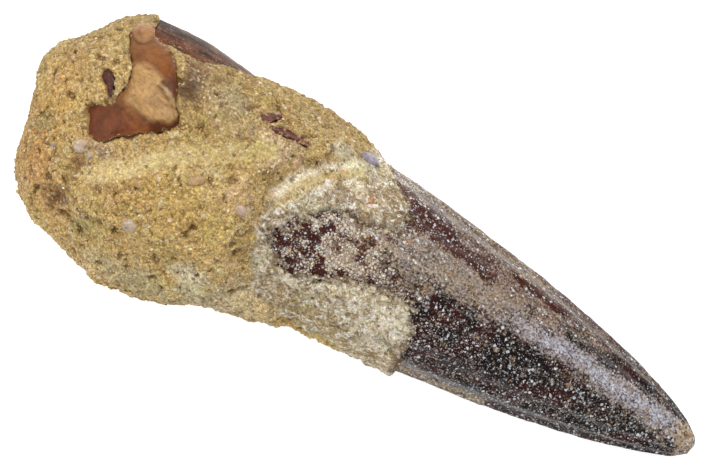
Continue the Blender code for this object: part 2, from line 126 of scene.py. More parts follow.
# The fragments' outlines follow their real edges closer than the solids do.
AMBER_OUTLINE = (
    (-37, 11.7), (-37.4, 12.6), (-37.3, 13.5), (-36.7, 14.2), (-35.8, 14.6), (-35, 14.4), (-34.6, 13.6),
    (-33.9, 13.2), (-32.8, 13.1), (-31.2, 12.3), (-30.3, 11.2), (-29.4, 9.6), (-28.9, 8.5), (-28.6, 7.4),
    (-27.6, 6.6), (-27.1, 5.7), (-27.4, 4.8), (-28.8, 3.5), (-31.6, 1.7), (-33, 0.8), (-34.2, -0.6), (-35.4, -0.8),
    (-36.6, -0.5), (-37.2, 0.4), (-37.5, 1.2), (-38.2, 1.7), (-38.3, 2.4), (-37.6, 3.1), (-36.2, 3.4), (-35.6, 3.8),
    (-35.3, 4.8), (-34.8, 7), (-35.3, 9.2), (-36.5, 10.5),
)
PURPLE_OUTLINE = (
    (-38.4, 6.3), (-38.4, 7.2), (-37.9, 7.7), (-37.2, 7.5), (-36.5, 6.9), (-36.1, 5.9), (-35.8, 4.8), (-36.1, 4.3),
    (-36.5, 4.6), (-37.1, 5.4), (-37.8, 5.7),
)
UPPER_SLIVER_OUTLINE = (
    (-19, 10.8), (-18.4, 11.5), (-17, 12.2), (-16.4, 12), (-16.9, 11.3), (-17.8, 10.4), (-18.5, 10.3),
)
LOWER_SLIVER_OUTLINE = (
    (-17.4, 10.3), (-16.4, 10.8), (-15, 10.9), (-13.6, 10.8), (-12.2, 10.6), (-12.5, 10.1), (-13.7, 9.9),
    (-15.1, 9.9), (-16.7, 9.9),
)
# Each fragment's outline, a point inside it, its thickness, and how far it stands out of the stone
FRAGMENTS = (
    ("amber_fragment", AMBER_OUTLINE, (-32.4, 4.8), 1.7, 0.45),
    ("purple_fragment", PURPLE_OUTLINE, (-37.1, 6), 1.2, 0.3),
    ("upper_sliver", UPPER_SLIVER_OUTLINE, (-17.7, 11.2), 0.9, 0.2),
    ("lower_sliver", LOWER_SLIVER_OUTLINE, (-14.7, 10.4), 0.9, 0.2),
)
POCKET_DEPTH = 1.3
FAN_CENTRE = (-41, 9.5)
# The amber piece's raised lip, its peach lobe, and its knob: along, across and radius
LIP_LINE = ((-31.6, 8.7), (-30.6, 8.5), (-29.6, 8), (-28.6, 7.2), (-28, 6.3))
PEACH_OUTLINE = (
    (-35.5, 9.1), (-34.3, 10.1), (-33, 10.1), (-30.9, 9.5), (-31.4, 8.4), (-29.8, 7.6), (-28.2, 6.8), (-27.6, 5.9),
    (-28.1, 5), (-30.4, 4.3), (-32.2, 4.5), (-34.4, 5.1), (-34.7, 6.9),
)
KNOB = (-36, 13.3, 1.35)
# Pebbles: along, across, long and short radius, turn, and their dark and pale colours
PEBBLES = (
    ("quartz_pebble", -36.3, -2.1, 1.15, 0.9, 40, (116, 88, 74), (204, 190, 178)),
    ("grey_pebble", -27, -8, 1.15, 0.85, -20, (104, 88, 74), (186, 174, 160)),
    ("green_pebble", -32.4, -9.3, 0.8, 0.65, 10, (58, 52, 34), (112, 102, 74)),
    ("pink_pebble", -22.3, 0.3, 1.2, 0.75, 30, (122, 92, 66), (178, 146, 112)),
    ("lilac_pebble", -16.1, -0.4, 0.95, 0.75, 0, (130, 108, 104), (186, 166, 156)),
)
# Smaller pebbles that belong to the sand
SMALL_PEBBLES = (
    ("large_lilac", -5, 11.95, 1.5, 0.86, -6, (104, 92, 98), (156, 146, 156)),
    ("pale_grey", -1, 7.9, 0.6, 0.5, 20, (150, 138, 122), (190, 178, 162)),
    ("clear_quartz", -34.9, -2.6, 0.55, 0.5, 70, (128, 116, 104), (200, 190, 176)),
    ("rust_grain", -2.6, 7.9, 0.5, 0.38, -60, (132, 84, 52), (166, 116, 76)),
    ("green_grain", -27.9, -7, 0.4, 0.35, 0, (80, 74, 50), (120, 114, 84)),
    ("cream_grain", -27.1, 4.1, 0.65, 0.5, 60, (176, 160, 112), (214, 204, 160)),
    ("brown_grain", -26.4, 5.1, 0.5, 0.33, -50, (62, 36, 26), (104, 68, 50)),
    ("mauve_grain", -23.4, 7.3, 0.45, 0.35, 10, (118, 84, 76), (160, 128, 116)),
    ("pink_grain", -12.6, 7.1, 0.4, 0.35, 0, (150, 116, 100), (190, 160, 144)),
    ("grey_grain", -39.4, -3.4, 0.5, 0.4, 30, (110, 100, 88), (160, 150, 136)),
    ("white_grain", -19.6, -3, 0.45, 0.35, 15, (160, 146, 124), (214, 204, 186)),
    ("dull_grain", -30.6, -4.6, 0.5, 0.4, -35, (112, 88, 62), (150, 124, 94)),
)
PEBBLE_HEIGHT = 0.8
PEBBLE_SIDE = 26
# Patches of colour on the stone's upper face: along, across, size along, size across, colour, strength
STONE_PATCHES = (
    (-41.5, 0, 2.5, 9, (190, 146, 88), 0.6), (-38, -9, 4, 3, (182, 142, 92), 0.5),
    (-25, -4, 7, 4, (188, 150, 86), 0.5), (-41.8, -1.3, 1.5, 1.5, (140, 128, 84), 0.7),
    (-31.5, -10.5, 2, 1.6, (158, 150, 98), 0.6), (-34, 9, 8, 5, (192, 164, 108), 0.5),
    (-24, 11, 4, 2.4, (160, 138, 102), 0.75), (-28.2, 10.2, 1.7, 2.9, (84, 62, 46), 0.95),
    (-22.6, 10.8, 2.5, 1.5, (160, 148, 122), 0.7), (-36.2, -8.9, 1.6, 1.3, (112, 72, 42), 0.85),
    (-36.1, 4.8, 0.7, 0.8, (104, 62, 42), 0.85), (-33.9, -1.4, 2.2, 0.8, (140, 112, 92), 0.75),
    (-32.6, 14.2, 3, 0.6, (112, 74, 46), 0.75), (-27.4, 12.6, 3, 0.9, (134, 104, 78), 0.7),
    (-35.6, -4.8, 1.2, 2.2, (128, 90, 56), 0.7), (-15.5, 8, 3.2, 2.4, (200, 170, 144), 0.8),
    (-7.8, 11.4, 2.4, 1, (210, 200, 178), 0.8), (-22, 9, 4, 3, (164, 142, 104), 0.6),
    (-17.2, 1.5, 2, 2, (194, 162, 124), 0.6), (-17.6, -10.2, 3, 1.5, (208, 198, 172), 0.85),
    (-24, -13.5, 8, 2, (184, 170, 134), 0.8), (-10.5, -9.6, 4.5, 2.8, (190, 174, 138), 0.85),
    (-15, -12, 3.5, 1.6, (194, 182, 152), 0.8), (-40.5, -6, 2, 3, (172, 128, 76), 0.6),
    (-24, 6, 3, 1.4, (176, 146, 86), 0.4),
)
CRUST_PATCHES = (
    (4.5, -5, 5, 2.6, (202, 192, 168), 0.9), (-4, -7.5, 5, 1.6, (164, 142, 100), 0.8),
    (-12, -6.5, 2.6, 3, (204, 188, 158), 0.85), (-11.8, 0, 2, 4, (160, 142, 122), 0.9),
    (-6, 5.8, 4, 1.2, (150, 132, 116), 0.9), (-0.6, 9.6, 3.5, 2.6, (146, 122, 90), 0.85),
    (1, 7.4, 3, 2.4, (142, 122, 96), 0.7), (2.4, 9.2, 2.2, 2.4, (134, 114, 86), 0.8),
    (-2.5, 7.5, 0.6, 0.9, (164, 104, 62), 0.9), (-1, 7.9, 0.8, 0.8, (178, 160, 142), 0.8),
    (-4.6, 10.6, 2, 1.2, (188, 178, 160), 0.8), (0.5, -8.6, 8, 1.2, (166, 142, 98), 0.7),
    (-12, -9.6, 5, 1.8, (194, 180, 150), 0.8),
)
# The cream line between the thick stone and the crust
CREAM_ARC = ((-12.9, 3.6), (-12.3, 5.6), (-11, 7.3), (-9.3, 8.8), (-7.1, 10.3), (-6, 10.9))
# Pale film on the tooth: a line, the film's width beside it, its colour and how much of it covers
FILM_LINES = (
    (((-3, 0.6), (2, 1), (7, 1.4)), 1.9, (144, 124, 104), 0.5),
    (((-2, 4.4), (2, 4.6), (5, 4.6)), 1.9, (150, 132, 112), 0.58),
    (((5, 4.6), (12, 4.4), (17, 4)), 2.6, (140, 127, 113), 0.84),
    (((17, 4), (22, 3.4), (32, 2), (43, 0.4)), 2.2, (140, 128, 118), 0.74),
    (((10, 7.4), (20, 5.8), (30, 3.9)), 1.6, (132, 116, 102), 0.56),
    (((-3, 12.4), (6, 10.9), (14, 9.3), (22, 7.7)), 0.9, (132, 118, 92), 0.52),
    (((22, 7.7), (34, 4.7), (42, 2)), 0.6, (118, 110, 98), 0.4),
    (((0, -9), (10, -8.6), (16, -8.2), (20, -7.8)), 0.55, (158, 142, 112), 0.62),
    (((43.8, 0.4), (44.6, -2.2)), 1.2, (168, 148, 122), 0.8),
)
# A pale bluish band along the ridge, partly mineral film and partly a painted highlight: its middle line and its
# width
PAINTED_SHEEN_LINE = ((17, 2.5), (27.5, 2.3), (33.4, 1.3), (42.5, 0.1))
PAINTED_SHEEN_WIDTH = 1.25
# Bare lines in the film, with their widths, and round ochre spots
BARE_LINES = (
    (((2.5, 9), (8.5, 7.6), (14.5, 6)), 0.75), (((26, 4), (35, 3.1), (43, 1.7)), 0.6), (((17, 7.6), (24, 6.1)), 0.35),
)
OCHRE_SPOTS = (
    (41.5, -1.8, 0.5), (44.4, -0.2, 0.4), (42.2, -2.4, 0.35), (21.1, -1.5, 0.45), (28.7, -1.2, 0.45),
    (38.4, 0.4, 0.35), (18.8, -1.4, 0.35), (14.5, 2.3, 0.35), (26.6, -1.6, 0.3), (-1.2, 3.8, 0.6), (3.6, 5.4, 0.4),
    (17.6, 7.9, 0.4),
)
# Grains of sand in each of the two meshes, grains on the enamel, and the usual sizes of both
SAND_GRAINS = 8500
SPECK_GRAINS = 7500
SAND_SIZE = 0.36
SPECK_SIZE = 0.17


def linear(*rgb):
    """A screen colour, 0 to 255, as the shaders' linear light."""
    share = np.array(rgb) / 255
    return np.where(share <= 0.04045, share / 12.92, ((share + 0.055) / 1.055) ** 2.4)


def blend(colour, other, share):
    """A colour moved towards another one by a share of its own at each point."""
    other = linear(*other) if isinstance(other, tuple) else other
    return colour + (other - colour) * share[..., None]


def ease(value):
    """A smooth change from 0 to 1 while a value goes from 0 to 1."""
    value = np.clip(value, 0, 1)
    return value * value * (3 - 2 * value)


def field(points, size, seed=0):
    """Smooth noise, about -1 to 1, whose lumps have a size in millimetres."""
    flat = np.asarray(points, float).reshape(-1, 3) / size + seed
    values = np.fromiter((noise.noise(p) for p in flat.tolist()), float, len(flat))
    return values.reshape(np.asarray(points).shape[:-1])


def along_table(table, places):
    """The values of a table's columns at places, on smooth curves through its rows."""
    rows = np.array(table, float)
    marks = rows[:, 0]
    last = len(marks) - 1
    k = np.arange(last + 1)
    before, after = np.maximum(k - 1, 0), np.minimum(k + 1, last)
    slopes = (rows[after] - rows[before]) / (marks[after] - marks[before])[:, None]
    i = np.clip(np.searchsorted(marks, places, side="left") - 1, 0, last - 1)
    span = (marks[i + 1] - marks[i])[:, None]
    t = np.clip((places - marks[i])[:, None] / span, 0, 1)
    rise = t * t * (3 - 2 * t)
    bend = slopes[i] * t * (1 - t) ** 2 + slopes[i + 1] * t * t * (t - 1)
    return rows[i] * (1 - rise) + rows[i + 1] * rise + span * bend


def round_table(table, degrees):
    """The values at angles of a table whose first and last rows are the same place."""
    rows = np.array(table, float)
    degrees = np.mod(degrees, 360)
    i = np.clip(np.searchsorted(rows[:, 0], degrees, side="left") - 1, 0, len(rows) - 2)
    share = ease((degrees - rows[i, 0]) / (rows[i + 1, 0] - rows[i, 0]))
    return rows[i, 1] + (rows[i + 1, 1] - rows[i, 1]) * share


def signed_degrees(degrees):
    return np.mod(degrees + 180, 360) - 180


def from_above(points, x, y):
    """How far points are from a place, seen from above."""
    return np.hypot(points[..., 0] - x, points[..., 1] - y)


def line_distance(line, x, y):
    """How far points are from a line of points."""
    nearest = np.full(np.shape(x), 1e9)
    for (ax, ay), (bx, by) in zip(line, line[1:]):
        dx, dy = bx - ax, by - ay
        t = np.clip(((x - ax) * dx + (y - ay) * dy) / (dx * dx + dy * dy), 0, 1)
        nearest = np.minimum(nearest, np.hypot(x - ax - t * dx, y - ay - t * dy))
    return nearest


def outline_distance(outline, x, y):
    """How far points are from an outline: positive inside, negative outside."""
    closed = outline + outline[:1]
    inside = np.zeros(np.shape(x), bool)
    for (ax, ay), (bx, by) in zip(closed, closed[1:]):
        if ay != by:
            inside ^= ((ay > y) != (by > y)) & (x < ax + (y - ay) * (bx - ax) / (by - ay))
    return np.where(inside, 1, -1) * line_distance(closed, x, y)


def tooth_section(x):
    """The tooth's axis and its half width and half depth at places along it."""
    found = along_table(TOOTH_PROFILE, x.reshape(-1))
    upper, lower, height = (found[:, c].reshape(x.shape) for c in (1, 2, 3))
    half = (upper - lower) / 2
    return (upper + lower) / 2, height, half, half * DEPTH_SHARE


def tooth_radius(x, angle, section):
    """How far the tooth's wall stands from its axis."""
    _, _, half, depth = section
    base = 1 / np.hypot(np.cos(angle) / half, np.sin(angle) / depth)
    crown = ease((x - CROWN_START) / (CROWN_FULL - CROWN_START))
    slim = np.minimum(1, half / 5)
    flutes = FLUTE_HEIGHT * crown * slim * np.cos(FLUTES * angle)
    off_keel = np.abs(np.arcsin(np.clip(np.sin(angle), -1, 1)))
    keel = KEEL_HEIGHT * crown * slim * np.exp(-((off_keel / KEEL_WIDTH) ** 2))
    where = np.stack([x * 0.12, np.cos(angle) * 3, np.sin(angle) * 3], axis=-1)
    grain = 0.22 * (1 - crown) * field(where, 1)
    return base + flutes + keel + grain


def on_section(x, angle, radius, section):
    """Points at a radius and an angle from the tooth's axis."""
    return np.stack([x, section[0] + radius * np.cos(angle), section[1] + radius * np.sin(angle)], axis=-1)


def even_stations(table, columns):
    """Places along a table such that the surface between two of them is about one spacing long."""
    dense = np.linspace(table[0][0], table[-1][0], 6000)
    found = along_table(table, dense)
    step = np.abs(np.diff(dense))
    for column in columns:
        step = np.maximum(step, np.hypot(np.diff(dense), np.diff(found[:, column])))
    length = np.concatenate(([0], np.cumsum(step)))
    count = int(length[-1] / SPACING) + 1
    return np.interp(np.linspace(0, length[-1], count), length, dense)


def grid_normals(points):
    """Outward normals of a grid of points: stations by angles, closed round the angles."""
    along = np.gradient(points, axis=0)
    around = np.roll(points, -1, axis=1) - np.roll(points, 1, axis=1)
    normal = np.cross(around, along)
    normal /= np.maximum(np.linalg.norm(normal, axis=-1, keepdims=True), 1e-9)
    return normal


def grid_faces(rings, sides):
    """Faces of a grid that is closed by a pole point at each end, the last two of its points."""
    i = np.arange(rings - 1)[:, None] * sides
    k = np.arange(sides)[None, :]
    n = (k + 1) % sides
    quads = np.stack([i + k, i + sides + k, i + sides + n, i + n], axis=-1).reshape(-1, 4).tolist()
    last, pole = (rings - 1) * sides, rings * sides
    for a in range(sides):
        b = (a + 1) % sides
        quads += [(a, b, pole), (last + b, last + a, pole + 1)]
    return quads


def placed(name, data):
    """An object in the scene that shows a mesh, a light or a camera."""
    made = bpy.data.objects.new(name, data)
    bpy.context.scene.collection.objects.link(made)
    return made


def make_piece(name, points, faces, material, node=None, smooth=True, **attributes):
    """An object from points in millimetres, with values stored on its points."""
    data = bpy.data.meshes.new(name)
    data.from_pydata(((np.asarray(points) - MIDDLE) * MM).tolist(), [], faces)
    data.update()
    for label, values in attributes.items():
        kind, key = ("FLOAT_COLOR", "color") if values.ndim == 2 else ("FLOAT", "value")
        if values.ndim == 2:
            values = np.column_stack([np.clip(values, 0, 1), np.ones(len(values))])
        store = data.attributes.new(label, kind, "POINT")
        store.data.foreach_set(key, values.astype(np.float32).reshape(-1))
    if smooth:
        data.shade_smooth()
    data.materials.append(material)
    made = placed(name, data)
    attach(made, "root")
    if node:
        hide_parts(node)
    return made


def make_grid(name, points, poles, material, node, **values):
    """A piece from a grid of points, closed by a pole point at each end."""
    stored = {}
    for label, grid in values.items():
        rows = grid.reshape(-1, *grid.shape[2:])
        stored[label] = np.concatenate([rows, rows[:1], rows[-1:]])
    flat = np.concatenate([points.reshape(-1, 3), poles])
    make_piece(name, flat, grid_faces(*points.shape[:2]), material, node, **stored)


# ---- materials


class Shader:
    """A material's nodes, built from Python values and each other's outputs."""

    def __init__(self, name):
        self.material = bpy.data.materials.new(name)
        self.material.use_nodes = True
        self.tree = self.material.node_tree
        self.surface = self.tree.nodes["Principled BSDF"]
        self.place = self.vector("SCALE", self.node("TexCoord").outputs["Object"], Scale=1 / MM)

    def put(self, socket, value):
        if isinstance(value, bpy.types.NodeSocket):
            self.tree.links.new(value, socket)
        elif isinstance(value, (tuple, list, np.ndarray)):
            size = len(socket.default_value)
            socket.default_value = (list(value) + [1])[:size]
        else:
            socket.default_value = value

    def node(self, kind, inputs=(), **settings):
        """A new node with its settings, and with its inputs given by number or name."""
        made = self.tree.nodes.new("ShaderNode" + kind)
        for label, value in settings.items():
            setattr(made, label, value)
        for label, value in dict(inputs).items():
            self.put(made.inputs[label], value)
        return made

    def set(self, **values):
        """Sets the surface's own inputs and gives back the finished material."""
        for label, value in values.items():
            self.put(self.surface.inputs[label.replace("_", " ")], value)
        return self.material

    def vector(self, operation, a, b=(0, 0, 0), **inputs):
        return self.node("VectorMath", {0: a, 1: b, **inputs}, operation=operation).outputs[0]

    def math(self, operation, a, b, clamp=False):
        return self.node("Math", {0: a, 1: b}, operation=operation, use_clamp=clamp).outputs[0]

    def add(self, a, b, clamp=False):
        return self.math("ADD", a, b, clamp)

    def times(self, a, b):
        return self.math("MULTIPLY", a, b)

    def swing(self, value, reach):
        """A noise's swing to both sides of its middle."""
        return self.times(self.math("SUBTRACT", value, 0.5), reach)

    def step(self, value, low, high, to_low=0, to_high=1):
        """A smooth change from one value to another."""
        inputs = enumerate((value, low, high, to_low, to_high))
        return self.node("MapRange", inputs, interpolation_type="SMOOTHSTEP").outputs[0]

    def mix(self, share, a, b, blend="MIX"):
        inputs = {"Factor": share, 6: a, 7: b}
        return self.node("Mix", inputs, data_type="RGBA", blend_type=blend, clamp_factor=True).outputs[2]

    def shaded(self, a, b):
        """Two colours multiplied."""
        return self.mix(1, a, b, "MULTIPLY")

    def noise(self, size, detail=2, rough=0.5, stretch=None, place=None, twist=0):
        place = place or self.place
        if stretch:
            place = self.vector("MULTIPLY", place, stretch)
        inputs = {"Vector": place, "Scale": 1 / size, "Detail": detail, "Roughness": rough, "Distortion": twist}
        return self.node("TexNoise", inputs).outputs["Fac"]

    def cells(self, size, shift=0):
        """Grains of a size: the distance to each one's middle, and its own random numbers."""
        place = self.vector("ADD", self.place, (shift, shift * 0.7, shift * 1.3))
        grains = self.node("TexVoronoi", {"Scale": 1 / size, "Vector": place}).outputs
        return grains["Distance"], *self.node("SeparateColor", {0: grains["Color"]}).outputs[:3]

    def stored(self, name, output="Fac"):
        return self.node("Attribute", attribute_name=name).outputs[output]

    def ramp(self, value, *stops):
        node = self.node("ValToRGB", {0: value})
        elements = node.color_ramp.elements
        while len(elements) < len(stops):
            elements.new(0.5)
        for element, (position, colour) in zip(elements, stops):
            element.position = position
            element.color = (*colour, 1)
        return node.outputs["Color"]

    def bumps(self, *layers):
        """One relief on another: each one's height, its depth in millimetres and its strength."""
        normal = None
        for height, depth, strength in layers:
            inputs = {"Height": height, "Distance": depth * MM, "Strength": strength}
            if normal is not None:
                inputs["Normal"] = normal
            normal = self.node("Bump", inputs).outputs[0]
        return normal


def sandstone():
    """Packed sand: each grain has its own brightness, with painted shade in the gaps, and a few pale and dark grains.
    """
    s = Shader("sandstone")
    tint = s.stored("tint", "Color")
    relief, crust, worn, even = (s.stored(name) for name in ("relief", "crust", "worn", "even"))
    far, one, two, three = s.cells(0.4)
    fine_far, fine_one, _, _ = s.cells(0.24, 3)
    patch = s.noise(1.6, 4, 0.6)
    fibre = s.noise(0.4, 5, 0.75, twist=0.3)
    cloud = s.noise(5, 3, 0.55)
    shade = s.step(one, 0, 1, 0.82, 1.16)
    shade = s.times(shade, s.step(fine_one, 0, 1, 0.86, 1.13))
    shade = s.times(shade, s.step(patch, 0.3, 0.7, 0.9, 1.12))
    shade = s.times(shade, s.step(fibre, 0.34, 0.66, 0.66, 1.36))
    shade = s.add(s.times(shade, s.step(even, 0, 1, 1, 0.45)), s.step(even, 0, 1, 0, 0.55))
    colour = s.shaded(tint, s.node("CombineColor", {0: shade, 1: shade, 2: shade}).outputs[0])
    colour = s.shaded(colour, s.ramp(one, (0, (0.95, 0.89, 0.92)), (0.5, (1, 1, 1)), (1, (1.02, 1.05, 1.01))))
    warm, olive = s.shaded(colour, (1.06, 0.93, 0.74)), s.shaded(colour, (0.97, 1.04, 0.9))
    colour = s.mix(s.step(cloud, 0.52, 0.34, 0, 0.9), colour, olive)
    colour = s.mix(s.step(cloud, 0.5, 0.75, 0, 0.25), colour, warm)
    # A few grains are pale and a few dark, and painted shade darkens the gaps and crevices between them.
    pale = s.times(s.step(two, 0.9, 0.93), s.step(patch, 0.35, 0.55, 0.25, 0.65))
    colour = s.mix(pale, colour, linear(214, 198, 160))
    dark = s.times(s.step(three, 0.93, 0.95), s.step(patch, 0.65, 0.45, 0.2, 0.7))
    colour = s.mix(dark, colour, linear(100, 76, 48))
    painted_gap_shade = s.math("MAXIMUM", s.step(fine_far, 0.4, 0.7, 0, 0.35), s.step(relief, -0.12, -0.45, 0, 0.75))
    colour = s.mix(painted_gap_shade, colour, s.mix(crust, linear(112, 82, 46), linear(116, 96, 74)))
    # Painted shade: thin dark lines stand in for the shade inside fine cracks.
    painted_crack_shade = s.times(s.step(s.noise(0.34, 4, 0.7), 0.43, 0.35, 0, 0.6), s.step(even, 0, 1, 1, 0.2))
    colour = s.mix(painted_crack_shade, colour, linear(98, 74, 44))
    # The crust is mottled with white mineral and dark dirt.
    marl = s.noise(1.2, 8, 0.82, twist=1)
    crust = s.times(crust, s.step(even, 0, 1, 1, 0.3))
    streaky = s.step(fibre, 0.4, 0.6)
    white = s.times(crust, s.step(marl, 0.515, 0.565, 0, 0.95))
    colour = s.mix(white, colour, s.mix(streaky, linear(190, 182, 164), linear(238, 235, 226)))
    dirt = s.times(crust, s.step(marl, 0.475, 0.41, 0, 0.82))
    colour = s.mix(dirt, colour, s.mix(streaky, linear(86, 66, 46), linear(150, 128, 88)))
    # Near its torn edges the crust is dirty and lets the dark enamel through.
    through = s.add(worn, s.swing(fibre, 2.6))
    colour = s.mix(s.step(through, 0.74, 1, 0, 0.85), colour, linear(78, 56, 46))
    domed = s.math("SUBTRACT", 1, s.times(far, far))
    normal = s.bumps((domed, 0.1, 0.7), (fibre, 0.2, 0.7))
    rough = s.step(two, 0.84, 0.92, 0.95, 0.6)
    return s.set(Base_Color=colour, Roughness=rough, Normal=normal, Specular_IOR_Level=0.25)


# The enamel's specks, from large to small: their size, a shift of the pattern, their density and their radius
SPECK_SIZES = ((0.46, 0, 0.75, 0.46), (0.3, 5, 0.85, 0.44), (0.2, 9, 0.9, 0.4))


def enamel():
    """Dark glossy enamel with a broken grey film and pale mineral specks of several sizes."""
    s = Shader("fossil_tooth")
    tint, film_tint = s.stored("tint", "Color"), s.stored("film_tint", "Color")
    film, speck, dull = s.stored("film"), s.stored("speck"), s.stored("dull")
    streak = s.noise(0.55, 4, 0.6, stretch=(0.22, 1, 1))
    blot = s.noise(1.1, 5, 0.65, stretch=(0.45, 1, 1), twist=0.6)
    fine = s.noise(0.3, 4, 0.7)
    rag = s.noise(0.15, 3, 0.7)
    shade = s.ramp(streak, (0.3, (0.55, 0.5, 0.5)), (0.52, (1, 1, 1)), (0.72, (1.7, 1.4, 1.3)))
    base = s.shaded(tint, shade)
    cover = s.add(s.add(film, s.swing(blot, 1.7)), s.swing(fine, 3))
    cover = s.step(cover, 0.05, 1.05, 0, 0.92)
    hue = s.noise(1.3, 5, 0.7, stretch=(0.6, 1, 1))
    film_tint = s.mix(s.step(hue, 0.52, 0.62, 0, 0.55), film_tint, linear(132, 108, 78))
    film_tint = s.mix(s.step(hue, 0.48, 0.38, 0, 0.5), film_tint, linear(122, 108, 112))
    grit = s.ramp(fine, (0.32, (0.46, 0.4, 0.36)), (0.5, (0.92, 0.9, 0.88)), (0.66, (1.58, 1.56, 1.54)))
    colour = s.mix(cover, base, s.shaded(film_tint, grit))
    raised = None
    for size, shift, share, radius in SPECK_SIZES:
        far, one, two, three = s.cells(size, shift)
        # A grain is there where its own number is under the density, and its edge is uneven.
        there = s.step(s.math("SUBTRACT", s.times(speck, share), one), -0.02, 0.02)
        reach = s.times(s.step(two, 0, 1, 0.4, 1), radius)
        body = s.step(s.math("SUBTRACT", s.add(far, s.swing(rag, 1.1)), reach), 0.1, -0.1)
        mask = s.times(there, body)
        grain = s.ramp(
            three, (0, linear(92, 82, 74)), (0.35, linear(134, 130, 128)), (0.65, linear(186, 188, 190)),
            (0.93, linear(222, 224, 226)), (0.97, linear(156, 118, 74)),
        )
        colour = s.mix(s.times(mask, 0.85), colour, grain)
        raised = s.math("MAXIMUM", raised, mask) if raised is not None else mask
    rough = s.add(s.step(cover, 0, 1, 0.2, 0.3), s.times(raised, 0.12))
    rough = s.add(rough, s.times(dull, 0.4), clamp=True)
    normal = s.bumps((streak, 0.05, 0.5), (fine, 0.04, 0.5), (raised, 0.05, 0.6))
    return s.set(Base_Color=colour, Roughness=rough, Normal=normal, Specular_IOR_Level=0.16)


def dentine():
    """Amber dentine with fan-like growth lines, darker at its rim."""
    s = Shader("dentine")
    rim = s.stored("rim")
    fan = s.node("CombineXYZ", {0: s.stored("turn"), 1: s.stored("reach")}).outputs[0]
    lines = s.noise(1, 4, 0.6, place=fan)
    stain = s.noise(0.9, 4, 0.6)
    grit = s.noise(0.45, 4, 0.7)
    veil = s.noise(1.5, 6, 0.7, twist=0.8)
    shade = s.ramp(lines, (0.3, (0.84, 0.79, 0.74)), (0.5, (1, 1, 1)), (0.7, (1.12, 1.13, 1.16)))
    colour = s.shaded(s.stored("tint", "Color"), shade)
    patchy = s.ramp(veil, (0.32, (0.7, 0.62, 0.56)), (0.5, (1, 1, 1)), (0.68, (1.26, 1.24, 1.2)))
    colour = s.shaded(colour, patchy)
    colour = s.mix(s.step(stain, 0.52, 0.7, 0, 0.5), colour, linear(92, 52, 28))
    edge = s.step(s.add(rim, s.swing(stain, 2.4)), 0.35, -0.25, 0, 0.75)
    colour = s.mix(edge, colour, linear(74, 42, 26))
    sand = s.step(s.add(rim, s.swing(grit, 2.2)), 0.12, -0.12, 0, 0.8)
    colour = s.mix(sand, colour, linear(172, 140, 88))
    normal = s.bumps((lines, 0.08, 0.5), (stain, 0.12, 0.5))
    return s.set(
        Base_Color=colour, Roughness=s.step(stain, 0.3, 0.7, 0.34, 0.55), Normal=normal, Specular_IOR_Level=0.22,
        Subsurface_Weight=0.08, Subsurface_Radius=(0.0012, 0.0006, 0.0003),
    )


def old_bone(name, dark, light, dusty):
    """Dark fossil bone with a fibrous grain."""
    s = Shader(name)
    grain = s.noise(0.5, 4, 0.6, stretch=(0.5, 1, 1), twist=0.4)
    fine = s.noise(0.22, 3, 0.6)
    spots = s.noise(0.55, 4, 0.7)
    colour = s.ramp(grain, (0.32, dark), (0.55, (dark + light) / 2), (0.75, light))
    dust = s.add(s.add(s.stored("rim"), s.swing(fine, 0.8)), s.swing(spots, -dusty))
    colour = s.mix(s.step(dust, 0.18, -0.06, 0, 0.85), colour, linear(176, 140, 104))
    normal = s.bumps((grain, 0.12, 0.6), (fine, 0.05, 0.5))
    rough = s.step(fine, 0.3, 0.7, 0.35, 0.55)
    return s.set(Base_Color=colour, Roughness=rough, Normal=normal, Specular_IOR_Level=0.25)


def worn_pebble(name, deep, pale, stain):
    """A worn translucent pebble with cloudy veins and sand stuck in its hollows."""
    s = Shader(name)
    cloud = s.noise(0.7, 4, 0.6, twist=0.8)
    fine = s.noise(0.18, 3, 0.6)
    dirt = s.noise(0.45, 4, 0.7)
    colour = s.ramp(cloud, (0.3, deep), (0.5, (deep + pale) / 2), (0.72, pale))
    colour = s.mix(s.step(dirt, 0.46, 0.58, 0, 0.85), colour, stain)
    normal = s.bumps((fine, 0.05, 0.6), (cloud, 0.15, 0.5))
    return s.set(
        Base_Color=colour, Roughness=s.step(dirt, 0.45, 0.65, 0.18, 0.7), Normal=normal,
        Subsurface_Weight=0.25, Subsurface_Radius=(0.0008, 0.0007, 0.0006),
    )


def loose_grain():
    """Single grains of sand, each with its own colour."""
    s = Shader("sand_grain")
    fine = s.noise(0.12, 3, 0.6)
    colour = s.shaded(s.stored("tint", "Color"), s.ramp(fine, (0.3, (0.75, 0.72, 0.68)), (0.7, (1.2, 1.2, 1.2))))
    rough = s.step(s.stored("gloss"), 0, 1, 0.85, 0.25)
    return s.set(Base_Color=colour, Roughness=rough, Normal=s.bumps((fine, 0.04, 0.5)))


# ---- stone


def top_of_stone(x, y):
    """The height of the stone's upper face, without its small relief."""
    x, y = np.asarray(x, float), np.asarray(y, float)
    found = along_table(STONE_PROFILE, x.reshape(-1))
    upper, lower, top, bottom = (found[:, c].reshape(x.shape) for c in (1, 2, 3, 4))
    off = np.minimum(1, np.abs(y - (upper + lower) / 2) / ((upper - lower) / 2))
    rise = (1 - off**STONE_ROUNDNESS) ** (1 / STONE_ROUNDNESS)
    height = (top + bottom) / 2 + (top - bottom) / 2 * rise
    for facing, distance in BREAKS:
        normal = np.array(facing) / np.linalg.norm(facing)
        if normal[2] > 0:
            flat = normal[0] * (x - STONE_MIDDLE[0]) + normal[1] * (y - STONE_MIDDLE[1])
            height = np.minimum(height, STONE_MIDDLE[2] + (distance - flat) / normal[2])
    return height


